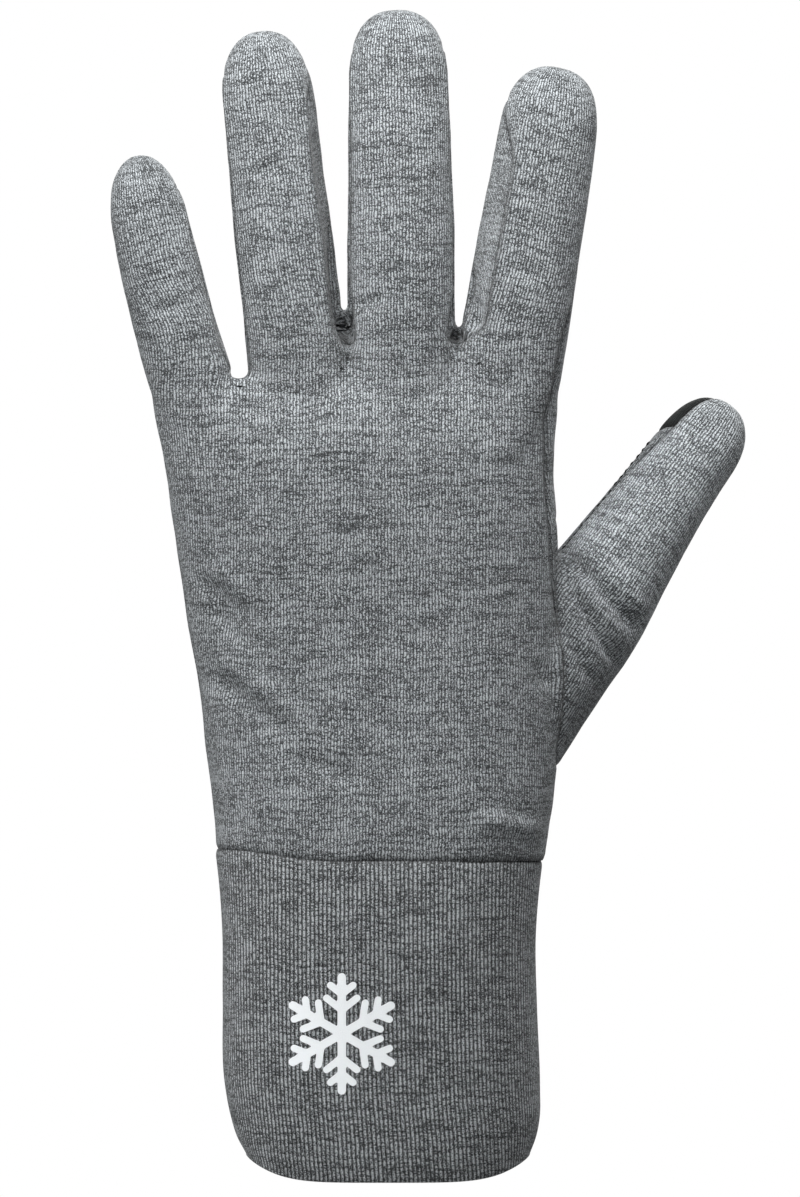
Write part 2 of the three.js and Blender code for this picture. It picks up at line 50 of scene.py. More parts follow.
MM = 0.001
TO_CM = 0.1  # the knit's map is in centimetres
WRIST = 71.0  # height of the wrist seam
WRIST_LIFT = 2.4  # how much higher it is on the left
WRIST_SLOPE = (-36.4, -12.1)  # places between which that ends
KNUCKLE = 178.0  # height of the knuckle line
FINGER_RUN = 82.0  # from the knuckle line to the middle finger's tip
FINGER_BEND = 9.0  # how far that tip curves towards the palm
ARC_STEPS = 20  # chords that a length round a section is added up from

Level = Callable[[np.ndarray], np.ndarray]
Form = tuple[np.ndarray, list[tuple[int, ...]]]  # points and faces of a closed form


def ease(value: np.ndarray, low: float, high: float) -> np.ndarray:
    """Smooth step of value from 0 at low to 1 at high."""
    t = np.clip((np.asarray(value, float) - low) / (high - low), 0.0, 1.0)
    return t * t * (3.0 - 2.0 * t)


def band(value: np.ndarray, start: float, full: float, fade: float, end: float) -> np.ndarray:
    """Rises from 0 at start to 1 at full, and falls again from fade to end."""
    return ease(value, start, full) * (1 - ease(value, fade, end))


def lerp(a: float, b: float, t: np.ndarray) -> np.ndarray:
    """The value at share t of the way from a to b."""
    return a + (b - a) * t


def curve_at(places: Sequence[float], values: Sequence[float], at: np.ndarray) -> np.ndarray:
    """A smooth curve through given values.

    Args:
        places: rising places of the given values.
        values: the values there.
        at: places to read the curve at; it is level beyond the ends.

    Returns:
        The curve's values.
    """
    x, y = np.asarray(places, float), np.asarray(values, float)
    at = np.clip(at, x[0], x[-1])
    slope = np.gradient(y, x)
    k = np.clip(np.searchsorted(x, at, side="right") - 1, 0, len(x) - 2)
    step = x[k + 1] - x[k]
    t = (at - x[k]) / step
    rise = y[k + 1] - y[k]
    low, high = slope[k] * step, slope[k + 1] * step
    return y[k] + t * (low + t * (3 * rise - 2 * low - high + t * (low + high - 2 * rise)))


def rounded(
    angle: np.ndarray, half: np.ndarray, deep: np.ndarray, square: float
) -> tuple[np.ndarray, np.ndarray]:
    """Points of a rounded section.

    Args:
        angle: angles round it, 0 at its right end.
        half: half its width.
        deep: half its depth.
        square: its exponent, where 2 is an ellipse and more is squarer.

    Returns:
        Places across and through.
    """
    cos, sin = np.cos(angle), np.sin(angle)
    across = half * np.sign(cos) * np.abs(cos) ** (2 / square)
    return across, deep * np.sign(sin) * np.abs(sin) ** (2 / square)


def arc_from_middle(
    across: np.ndarray, through: np.ndarray, half: np.ndarray, deep: np.ndarray, square: float
) -> np.ndarray:
    """Distance round a rounded section from the middle of its face.

    Args:
        across: places across the section.
        through: places through it, positive on the face's side.
        half: half its width.
        deep: half its depth.
        square: its exponent.

    Returns:
        The signed distances, which have the sign of across.
    """

    def power(value: np.ndarray, exponent: float) -> np.ndarray:
        """A power that keeps the sign."""
        return np.sign(value) * np.abs(value) ** exponent

    end = np.arctan2(power(across / half, square / 2), power(through / deep, square / 2))
    total = np.zeros_like(end)
    was = (np.zeros_like(end), deep + np.zeros_like(end))
    for k in range(1, ARC_STEPS + 1):
        angle = end * k / ARC_STEPS
        now = (half * power(np.sin(angle), 2 / square), deep * power(np.cos(angle), 2 / square))
        total += np.hypot(now[0] - was[0], now[1] - was[1])
        was = now
    return np.maximum(total, np.abs(across)) * np.sign(across)


def bend_at(z: np.ndarray) -> np.ndarray:
    """How far the fingers have curved towards the palm at a height."""
    return FINGER_BEND * (np.maximum(0.0, z - KNUCKLE) / FINGER_RUN) ** 2


def wrist_seam(x: np.ndarray) -> np.ndarray:
    """Height of the wrist seam, which is higher by the little finger's side."""
    return WRIST + WRIST_LIFT * (1 - ease(x, *WRIST_SLOPE))


def loft(rings: np.ndarray) -> Form:
    """A closed form through rings of points.

    Args:
        rings: an array of rings by points by three.

    Returns:
        Its points and faces.
    """
    rows, count = rings.shape[:2]
    points = rings.reshape(-1, 3)
    faces: list[tuple[int, ...]] = [tuple(range(count - 1, -1, -1))]
    faces.append(tuple((rows - 1) * count + k for k in range(count)))
    for r in range(rows - 1):
        for k in range(count):
            a, b = r * count + k, r * count + (k + 1) % count
            faces.append((a, b, b + count, a + count))
    return points, faces


class Panel(IntEnum):
    """The knitted pieces that the skin is cut into."""

    BACK = 0
    PALM = 1
    LITTLE_RING = 2
    RING_MIDDLE = 3
    MIDDLE_INDEX = 4
    THUMB_BACK = 5
    THUMB_PALM = 6
    THUMB_PAD = 7
    BELOW_WRIST = 8


class Face(Enum):
    """Which way a piece's face looks."""

    BACK = -1
    PALM = 1


@dataclass
class MiddleLine:
    """The middle line of a finger or the thumb, with its directions across and through.

    Args:
        along: distances along the line.
        middle: its points.
        tangent, across, through: unit directions there.
    """

    along: np.ndarray
    middle: np.ndarray
    tangent: np.ndarray
    across: np.ndarray
    through: np.ndarray

    def at(self, along: np.ndarray) -> tuple[np.ndarray, np.ndarray, np.ndarray]:
        """Middle, across and through at distances along the line."""

        def read(rows: np.ndarray) -> np.ndarray:
            """The rows at those distances."""
            return np.stack([np.interp(along, self.along, rows[:, k]) for k in range(3)], axis=-1)

        return read(self.middle), read(self.across), read(self.through)

    def ring(self, along: float, half: float, deep: float, sides: int, square: float) -> np.ndarray:
        """The points of one section round the line."""
        angle = np.linspace(0, 2 * np.pi, sides, endpoint=False)
        u, v = rounded(angle, half, deep, square)
        middle, across, through = self.at(np.array([along]))
        return middle + u[:, None] * across + v[:, None] * through

    def locate(self, points: np.ndarray) -> tuple[np.ndarray, np.ndarray, np.ndarray]:
        """Where points lie beside the line.

        Args:
            points: the points.

        Returns:
            Their distances along, across and through.
        """
        gap = (self.middle**2).sum(1)[None] - 2 * points @ self.middle.T
        near = gap.argmin(1)
        offset = points - self.middle[near]
        past = (offset * self.tangent[near]).sum(1)
        return (
            self.along[near] + past,
            (offset * self.across[near]).sum(1),
            (offset * self.through[near]).sum(1),
        )


class Limb:
    """What a finger and the thumb share: a middle line, sections along it and a rounded tip."""

    START = 0.0
    DOME = 16.0
    SQUARE = 2.0
    SIDES = 48
    RINGS = 30
    TIP_RINGS = 14
    TIP_END = 0.492  # share of a half turn that the tip's rings stop at, short of a point

    length: float
    blunt: float

    def line(self) -> MiddleLine:
        """The limb's middle line."""
        raise NotImplementedError

    def size(self, along: np.ndarray) -> tuple[np.ndarray, np.ndarray]:
        """Half width and half depth at distances along, before the tip rounds off."""
        raise NotImplementedError

    def form(self) -> Form:
        """The limb as a closed form."""
        straight = self.length - self.DOME
        over = np.sin(np.linspace(0, self.TIP_END, self.TIP_RINGS)[1:] * np.pi)
        places = np.concatenate(
            [np.linspace(self.START, straight, self.RINGS), straight + over * self.DOME]
        )
        taper = np.concatenate([np.ones(self.RINGS), (1 - over**self.blunt) ** (1 / self.blunt)])
        half, deep = self.size(places)
        line = self.line()
        rings = [
            line.ring(a, h * t, d * t, self.SIDES, self.SQUARE)
            for a, h, d, t in zip(places, half, deep, taper)
        ]
        return loft(np.array(rings))


@dataclass(frozen=True)
class Finger(Limb):
    """One finger: where it starts, how it leans and how thick it is.

    Args:
        across: place of its root's middle.
        length: from the knuckle line to its tip.
        lean, tip: degrees it leans towards the thumb at root and tip.
        half, deep: half its width and depth at the root.
        blunt: how blunt its tip is.
    """

    across: float
    length: float
    lean: float
    tip: float
    half: float
    deep: float
    blunt: float

    DOME = 17.0
    ROOT = 17.0  # how far it reaches into the hand
    START = -ROOT
    SQUARE = 2.6
    STEPS = 72
    BEYOND = 2.0  # how far its middle line goes on past the tip
    ROOT_WIDTH = 0.7
    ROOT_DEPTH = 1.2
    SECTION_AT = (0.0, 0.35, 0.7, 1.0)
    SECTION_WIDTH = (0.99, 0.96, 0.94, 0.9)
    SECTION_DEPTH = (1.0, 0.97, 0.9, 0.84)

    def line(self) -> MiddleLine:
        """The finger's middle line, from its root inside the hand to beyond its tip."""
        along = np.linspace(-self.ROOT, self.length + self.BEYOND, self.STEPS)
        share = along / self.length
        lean = np.radians(lerp(self.lean, self.tip, share))
        mean = np.radians(lerp(self.lean, self.tip, share / 2))
        z = KNUCKLE + along * np.cos(mean)
        middle = np.stack([self.across + along * np.sin(mean), bend_at(z), z], axis=1)
        slope = 2 * FINGER_BEND * np.maximum(0, z - KNUCKLE) / FINGER_RUN**2
        tangent = np.stack([np.sin(lean), slope, np.cos(lean)], axis=1)
        tangent /= np.linalg.norm(tangent, axis=1)[:, None]
        across = np.stack([np.cos(lean), np.zeros_like(lean), -np.sin(lean)], axis=1)
        return MiddleLine(along, middle, tangent, across, np.cross(tangent, across))

    def size(self, along: np.ndarray) -> tuple[np.ndarray, np.ndarray]:
        """Half width and half depth at distances along, before the tip rounds off."""
        share = np.clip(along / (self.length - self.DOME), 0, 1)
        sunk = np.clip(-along / self.ROOT, 0, 1)
        width = curve_at(self.SECTION_AT, self.SECTION_WIDTH, share)
        depth = curve_at(self.SECTION_AT, self.SECTION_DEPTH, share)
        half = self.half * width * lerp(1, self.ROOT_WIDTH, sunk)
        deep = self.deep * depth * lerp(1, self.ROOT_DEPTH, sunk)
        return half, deep


@dataclass(frozen=True)
class Strip:
    """The strip of knit down both sides of a crotch between two fingers.

    Args:
        panel: its piece.
        low, high: degrees that it comes forward on the left finger's and the right finger's side.
        rear: degrees that it goes round to the palm.
        web: height of the crotch above the knuckle line.
        foot: how far the strip reaches down below the crotch.
        shade: how strong the painted shade is on the strip by the left finger, whose side faces
            away from the light.
    """

    panel: Panel
    low: float
    high: float
    rear: float
    web: float
    foot: float
    shade: float

    END = 8.5  # from its upper end to the fingertip
    POINT = 11.0  # degrees that are left where it runs out in a point
    FOOT_POINT = (-0.01, 0.13)  # shares of its height over which it widens at its foot
    TOP_POINT = 0.3  # share over which it narrows at its top
    REACH = 1.32  # how far out it holds, in times the finger's size
    PRESS = 1.3  # how deep its face is pressed in
    PRESS_FOOT = (4.0, 14.0)
    PRESS_TOP = 12.0
    PRESS_SKEW = 0.8
    PINCH = 0.5  # how far the edge beside it is pinched forward
    PINCH_WIDTH = 1.3
    WEB_DEPTH = 8.0
    WEB_BACK = 3.0
    CREVICE_SHADE = 1.4  # painted shade in the crease at the bottom of the crotch
    CREASE = 1.1  # how wide that is
    CREASE_TOP = (1.0, 9.0)  # heights above the crotch over which it ends
    SHADE_EDGE = 0.5

    def side_level(self, finger: Finger, side: int, points: np.ndarray) -> np.ndarray:
        """How far inside the strip points lie, by one finger.

        Args:
            finger: the finger.
            side: 1 where the strip is on its right and -1 on its left.
            points: the points.

        Returns:
            Distances, positive inside.
        """
        along, u, v = finger.line().locate(points)
        half, deep = finger.size(np.maximum(along, 0))
        foot, top = self.web - self.foot, finger.length - self.END
        share = (along - foot) / (top - foot)
        full = ease(1 - share, 0, self.TOP_POINT) * ease(share, *self.FOOT_POINT)
        front = np.radians(lerp(self.POINT, self.low if side > 0 else self.high, full))
        rear = np.radians(lerp(self.POINT, self.rear, full))
        angle = np.arctan2(v / deep, side * u / half)
        reach = np.hypot(u / half, v / deep)
        level = np.minimum(angle + front, rear - angle) * half
        level = np.minimum(level, (self.REACH - reach) * half)
        return np.minimum(level, np.minimum(along - foot, top - along))

    def painted_shade(self, left: Finger, right: Finger, points: np.ndarray) -> np.ndarray:
        """Painted shade on the strip's knit: by the left finger, whose side faces away from the
        light, and most in the crease at the bottom of the crotch.
        """
        x, _, z = points.T
        rise = z - KNUCKLE
        middles = (
            f.across + rise * math.tan(math.radians(f.lean + f.tip) / 2) for f in (left, right)
        )
        gap = (left.half - right.half) / 2 + sum(middles) / 2
        side = self.shade * (1 - ease(x - gap, -self.SHADE_EDGE, self.SHADE_EDGE))
        crease = np.exp(-(((x - gap) / self.CREASE) ** 2))
        crease = crease * (1 - ease(rise - self.web, *self.CREASE_TOP))
        return np.maximum(side, self.CREVICE_SHADE * crease)

    def flatten(self, finger: Finger, side: int, points: np.ndarray) -> np.ndarray:
        """How far the strip's bulge is pressed flat between its front seam and the finger's side.

        Args:
            finger: the finger.
            side: 1 where the strip is on its right and -1 on its left.
            points: the points.

        Returns:
            The depths; negative where the edge of the back is pinched forward.
        """
        along, u, v = finger.line().locate(points)
        half, deep = finger.size(np.maximum(along, 0))
        front = math.radians(self.low if side > 0 else self.high)
        angle = np.arctan2(v / deep, side * u / half)
        share = (angle + front) / front
        foot, top = self.web - self.foot, finger.length - self.END
        low, high = self.PRESS_FOOT
        held = band(along, foot + low, foot + high, top - self.PRESS_TOP, top)
        held = held * (np.hypot(u / half, v / deep) < self.REACH)
        inside = np.clip(share, 0, 1)
        press = self.PRESS * np.sin(np.pi * inside**self.PRESS_SKEW) * (share > 0) * (share < 1)
        pinch = self.PINCH * np.exp(-(((angle + front) * half / self.PINCH_WIDTH) ** 2))
        return (press - pinch) * held


@dataclass(frozen=True)
class Thumb(Limb):
    """The thumb, which turns from its root towards the palm's front, and its seams.

    Args:
        length: of its middle line.
        half, deep: half its width and depth, before the factors of its sections.
        blunt: how blunt its tip is.
        root: where its middle line starts.
        tilt, swing: degrees towards the side and towards the palm, at its root and its tip.
        outer_turn: degrees that the seam between its halves is turned on its lower edge.
        inner_turn: the same on its upper edge, below and at the touch pad.
        inner_twist: distances between which that changes.
        pad: length of the touch pad.
        seam_side, seam_turn: place and turn of the seam round its base.
        seam_top, seam_foot: heights of that seam.
        base_edge, base_slant: a place on the fold above its base, which has painted shade, and the
            fold's slant.
        base_blend: distances from that fold over which the painted shade ends.
        base_shade: how strong the painted shade on the base is.
    """

    length: float = 99.0
    half: float = 11.0
    deep: float = 11.0
    blunt: float = 2.3
    root: tuple[float, float, float] = (24.4, 5.0, 93.47)
    tilt: tuple[float, float] = (30.4, 35.9)
    swing: tuple[float, float] = (4.0, 27.0)
    outer_turn: float = 16.0
    inner_turn: tuple[float, float] = (14.0, 44.0)
    inner_twist: tuple[float, float] = (60.0, 92.0)
    pad: float = 15.0
    seam_side: float = 36.4
    seam_turn: float = 30.0
    seam_top: float = 145.4
    seam_foot: float = 93.5
    base_edge: tuple[float, float] = (48.5, 130.5)
    base_slant: float = 31.0
    base_blend: tuple[float, float] = (-2.5, 1.5)
    base_shade: float = 0.55

    STEPS = 96
    TURN_END = 0.9  # share of its length by which it has turned
    FOOT_SLOPE = 0.5
    FOOT_SCALE = 0.9  # makes the height above that slope a distance from it
    SECTION_AT = (0.0, 0.22, 0.45, 0.62, 0.8, 1.0)
    SECTION_WIDTH = (1.1, 1.14, 1.24, 1.12, 0.98, 0.88)
    SECTION_DEPTH = (1.25, 1.14, 1.04, 0.98, 0.92, 0.86)
    SQUARE = 2.2

    def line(self) -> MiddleLine:
        """The thumb's middle line."""
        share = ease(np.linspace(0, 1, self.STEPS + 1), 0, self.TURN_END)
        tilt, swing = np.radians(lerp(*self.tilt, share)), np.radians(lerp(*self.swing, share))
        tangent = np.stack(
            [np.sin(tilt) * np.cos(swing), np.sin(swing), np.cos(tilt) * np.cos(swing)], axis=1
        )
        across = np.stack([np.cos(tilt), np.zeros_like(tilt), -np.sin(tilt)], axis=1)
        through = np.cross(tangent, across)
        through /= np.linalg.norm(through, axis=1)[:, None]
        moves = tangent[:-1] * self.length / self.STEPS
        middle = np.array(self.root) + np.vstack([np.zeros(3), np.cumsum(moves, axis=0)])
        along = np.linspace(0, self.length, self.STEPS + 1)
        return MiddleLine(along, middle, tangent, across, through)

    def size(self, along: np.ndarray) -> tuple[np.ndarray, np.ndarray]:
        """Half width and half depth at distances along."""
        share = np.clip(along / (self.length - self.DOME), 0, 1)
        return (
            self.half * curve_at(self.SECTION_AT, self.SECTION_WIDTH, share),
            self.deep * curve_at(self.SECTION_AT, self.SECTION_DEPTH, share),
        )

    def zone_level(self, points: np.ndarray) -> np.ndarray:
        """How far points lie on the thumb's side of the seam that joins it to the hand."""
        x, y, z = points.T
        turn = math.radians(self.seam_turn)
        past = (x - self.seam_side) * math.cos(turn) + y * math.sin(turn)
        slant = math.sqrt(0.5)
        top = (self.seam_top + past - z) * slant
        foot = (z - self.seam_foot + self.FOOT_SLOPE * past) * self.FOOT_SCALE
        return np.minimum(past, np.minimum(top, foot))

    def painted_shade(self, points: np.ndarray) -> np.ndarray:
        """Painted shade on the knit of the thumb's base, below a slanting fold."""
        x, _, z = points.T
        slant = math.radians(self.base_slant)
        past = (x - self.base_edge[0]) * math.cos(slant) + (z - self.base_edge[1]) * math.sin(slant)
        return self.base_shade * (1 - ease(past, *self.base_blend))

    def half_level(self, points: np.ndarray) -> np.ndarray:
        """How far points lie on the palm's side of the seam between the thumb's halves."""
        along, u, v = self.line().locate(points)
        inner = lerp(*self.inner_turn, ease(along, *self.inner_twist))
        turn = np.radians(np.where(u < 0, inner, self.outer_turn))
        return v * np.cos(turn) - u * np.sin(turn)

    def pad_level(self, points: np.ndarray) -> np.ndarray:
        """How far points lie beyond the lower edge of the touch pad."""
        along, _, _ = self.line().locate(points)
        return along - (self.length - self.pad)


@dataclass(frozen=True)
class Fold:
    """A soft fold in the knit: a ridge if its height is positive, a hollow if negative.

    Args:
        face: the side of the hand that it lies on.
        start, end: its ends as places in X and Z.
        width: how wide it is.
        height: how high.
    """

    face: Face
    start: tuple[float, float]
    end: tuple[float, float]
    width: float
    height: float

    END_FADE = 0.3  # share of its run over which it rises and dies away
    FACING = (0.1, 0.6)  # how squarely the knit faces that way where it starts and is full

    def lift(self, points: np.ndarray, facing: np.ndarray) -> np.ndarray:
        """How far the fold lifts points.

        Args:
            points: the points.
            facing: their normals' Y.

        Returns:
            The heights.
        """
        a, b = np.array(self.start), np.array(self.end)
        run = b - a
        flat = points[:, [0, 2]] - a
        share = (flat @ run) / (run @ run)
        nearest = np.clip(share, 0, 1)
        gap = np.linalg.norm(flat - nearest[:, None] * run, axis=1)
        ends = ease(nearest, 0, self.END_FADE) * ease(1 - nearest, 0, self.END_FADE)
        shown = ease(facing * self.face.value, *self.FACING)
        return self.height * np.exp(-((gap / self.width) ** 2)) * ends * shown


def placed(name: str, data: bpy.types.ID) -> bpy.types.Object:
    """A new object for a mesh, a light or a camera, linked to the scene."""
    made = bpy.data.objects.new(name, data)
    bpy.context.scene.collection.objects.link(made)
    return made


def edge_pairs(faces: np.ndarray) -> np.ndarray:
    """Each side of each triangle as a sorted pair of points."""
    return np.sort(np.concatenate([faces[:, [0, 1]], faces[:, [1, 2]], faces[:, [2, 0]]]), axis=1)


def tree_of(points: np.ndarray) -> kdtree.KDTree:
    """A search tree of points."""
    tree = kdtree.KDTree(len(points))
    for k, p in enumerate(points):
        tree.insert(p, k)
    tree.balance()
    return tree


def distance_to(points: np.ndarray, others: np.ndarray) -> np.ndarray:
    """Distance of each point to the nearest of the others."""
    tree = tree_of(others)
    return np.array([tree.find(p)[2] for p in points])


@dataclass
class Skin:
    """A surface of small triangles that is cut into labelled panels.

    Args:
        points: its points.
        faces: triangles by point.
        label: the panel of each triangle.
    """

    points: np.ndarray
    faces: np.ndarray
    label: np.ndarray

    REGROW = -1.02  # how far a round pushes back out what the one before drew in
    SNAP = 0.2  # share of an edge within which its end moves on to the line of a cut
    TINY = 1e-12

    @classmethod
    def grown(cls, forms: Sequence[Form], voxel: float) -> "Skin":
        """One skin round overlapping closed forms.

        Args:
            forms: points and faces of each.
            voxel: how fine the skin is.

        Returns:
            The skin, all labelled as the back.
        """
        points: list[np.ndarray] = []
        faces: list[tuple[int, ...]] = []
        for more_points, more_faces in forms:
            start = sum(len(p) for p in points)
            points.append(more_points)
            faces += [tuple(start + k for k in f) for f in more_faces]
        mesh = bpy.data.meshes.new("forms")
        mesh.from_pydata(np.vstack(points).tolist(), [], faces)
        piece = placed("forms", mesh)
        remesh = piece.modifiers.new("skin", "REMESH")
        remesh.mode, remesh.voxel_size, remesh.adaptivity = "VOXEL", voxel, 0.0
        made = piece.evaluated_get(bpy.context.evaluated_depsgraph_get()).to_mesh()
        made.calc_loop_triangles()
        found = np.empty(len(made.vertices) * 3, np.float32)
        made.vertices.foreach_get("co", found)
        triangles = np.empty(len(made.loop_triangles) * 3, np.int32)
        made.loop_triangles.foreach_get("vertices", triangles)
        bpy.data.objects.remove(piece)
        bpy.data.meshes.remove(mesh)
        faces_found = triangles.reshape(-1, 3).astype(np.int64)
        return cls(found.reshape(-1, 3).astype(float), faces_found, np.zeros(len(faces_found), int))

    def edges(self) -> np.ndarray:
        """Each edge once, as pairs of points."""
        return np.unique(edge_pairs(self.faces), axis=0)

    def relax(self, rounds: int, weight: np.ndarray | float, keep_size: bool) -> None:
        """Evens the skin out.

        Args:
            rounds: how often.
            weight: how much each point moves towards its neighbours' middle.
            keep_size: whether each round is followed by one that undoes the shrinking.
        """
        a, b = self.edges().T
        count = len(self.points)
        ties = np.bincount(a, minlength=count) + np.bincount(b, minlength=count)
        ties = np.maximum(ties, 1)[:, None]
        share = np.broadcast_to(np.asarray(weight, float), (count,))[:, None]
        for step in range(rounds):
            total = np.zeros_like(self.points)
            for k in range(3):
                total[:, k] = np.bincount(a, self.points[b, k], count)
                total[:, k] += np.bincount(b, self.points[a, k], count)
            pull = self.REGROW if keep_size and step % 2 else 1.0
            self.points = self.points + share * pull * (total / ties - self.points)

    def normals(self) -> np.ndarray:
        """Unit normals of the points."""
        p = self.points[self.faces]
        flat = np.cross(p[:, 1] - p[:, 0], p[:, 2] - p[:, 0])
        out = np.zeros_like(self.points)
        for corner in range(3):
            for k in range(3):
                out[:, k] += np.bincount(self.faces[:, corner], flat[:, k], len(self.points))
        return out / np.maximum(np.linalg.norm(out, axis=1), self.TINY)[:, None]

    def divide(self, level: Level, within: Sequence[Panel], above: Panel) -> None:
        """Cuts the faces of some panels along the line where level is 0.

        Args:
            level: gives a value for each point.
            within: the panels that are cut.
            above: the panel that what lies above 0 becomes.
        """
        chosen = np.isin(self.label, [int(p) for p in within])
        value = level(self.points)
        part = self.faces[chosen]
        pairs = np.unique(edge_pairs(part), axis=0)
        pairs = pairs[value[pairs[:, 0]] * value[pairs[:, 1]] < 0]
        share = value[pairs[:, 0]] / (value[pairs[:, 0]] - value[pairs[:, 1]])
        moved = self.points.copy()
        for near, far, gap in (
            (pairs[:, 0], pairs[:, 1], share),
            (pairs[:, 1], pairs[:, 0], 1 - share),
        ):
            close = gap < self.SNAP
            start, end = self.points[near[close]], self.points[far[close]]
            moved[near[close]] = start + gap[close, None] * (end - start)
            value[near[close]] = 0.0
        self.points = moved
        sign = np.sign(value).astype(int)
        sides = sign[part]
        mixed = (sides.min(1) < 0) & (sides.max(1) > 0)
        plain = part[~mixed]
        labels = self.label[chosen]
        plain_label = np.where(sides[~mixed].max(1) > 0, int(above), labels[~mixed])
        added: dict[tuple[int, int], int] = {}
        extra: list[np.ndarray] = []
        faces: list[tuple[int, int, int]] = []
        given: list[int] = []
        for corners, was in zip(part[mixed].tolist(), labels[mixed].tolist()):
            ring: list[tuple[int, int]] = []
            for k in range(3):
                a, b = corners[k], corners[(k + 1) % 3]
                ring.append((a, sign[a]))
                if sign[a] * sign[b] < 0:
                    key = (min(a, b), max(a, b))
                    if key not in added:
                        t = value[a] / (value[a] - value[b])
                        added[key] = len(self.points) + len(extra)
                        extra.append(self.points[a] + t * (self.points[b] - self.points[a]))
                    ring.append((added[key], 0))
            for want, name in ((1, int(above)), (-1, was)):
                kept = [p for p, s in ring if s * want >= 0]
                for k in range(1, len(kept) - 1):
                    faces.append((kept[0], kept[k], kept[k + 1]))
                    given.append(name)
        if extra:
            self.points = np.vstack([self.points, np.array(extra)])
        cut = np.array(faces, np.int64).reshape(-1, 3)
        self.faces = np.vstack([self.faces[~chosen], plain, cut])
        self.label = np.concatenate([self.label[~chosen], plain_label, np.array(given, int)])

    def drop(self, panel: Panel) -> None:
        """Takes away the faces of one panel."""
        kept = self.label != int(panel)
        self.faces, self.label = self.faces[kept], self.label[kept]

    def seam_points(self) -> np.ndarray:
        """Points along every seam and open edge, close together."""
        pairs = edge_pairs(self.faces)
        labels = np.tile(self.label, 3)
        unique, where, count = np.unique(pairs, axis=0, return_inverse=True, return_counts=True)
        where = where.ravel()
        low = np.full(len(unique), len(Panel))
        high = np.full(len(unique), -1)
        np.minimum.at(low, where, labels)
        np.maximum.at(high, where, labels)
        seams = unique[(low != high) | (count == 1)]
        a, b = self.points[seams[:, 0]], self.points[seams[:, 1]]
        return np.vstack([a, (a + b) / 2, b])


def build_mesh(
    name: str,
    points: np.ndarray,
    faces: np.ndarray | list[tuple[int, ...]],
    knit_map: np.ndarray | None = None,
    seam: np.ndarray | None = None,
) -> bpy.types.Object:
    """A smooth-shaded object from points in millimetres.

    Args:
        name: its name.
        points: its points.
        faces: its faces.
        knit_map: places in the knit, in centimetres, for each point.
        seam: the painted shade on the knit at each point, 0 where it is plain and about 1 at a
            seam.

    Returns:
        The object, linked to the scene.
    """
    mesh = bpy.data.meshes.new(name)
    rows = faces.tolist() if isinstance(faces, np.ndarray) else faces
    mesh.from_pydata((points * MM).tolist(), [], rows)
    mesh.update()
    mesh.polygons.foreach_set("use_smooth", np.ones(len(mesh.polygons), bool))
    if knit_map is not None:
        layer = mesh.uv_layers.new(name="knit")
        corner = np.empty(len(mesh.loops), np.int32)
        mesh.loops.foreach_get("vertex_index", corner)
        layer.data.foreach_set("uv", knit_map[corner].astype(np.float32).ravel())
    if seam is not None:
        stored = mesh.attributes.new("seam", "FLOAT", "POINT")
        stored.data.foreach_set("value", seam.astype(np.float32))
    return placed(name, mesh)


def thicken(piece: bpy.types.Object, wall: float) -> None:
    """Gives a sheet of knit its thickness, inwards from its outer face."""
    solid = piece.modifiers.new("wall", "SOLIDIFY")
    solid.thickness, solid.offset = wall * MM, -1.0
    solid.use_even_offset = False


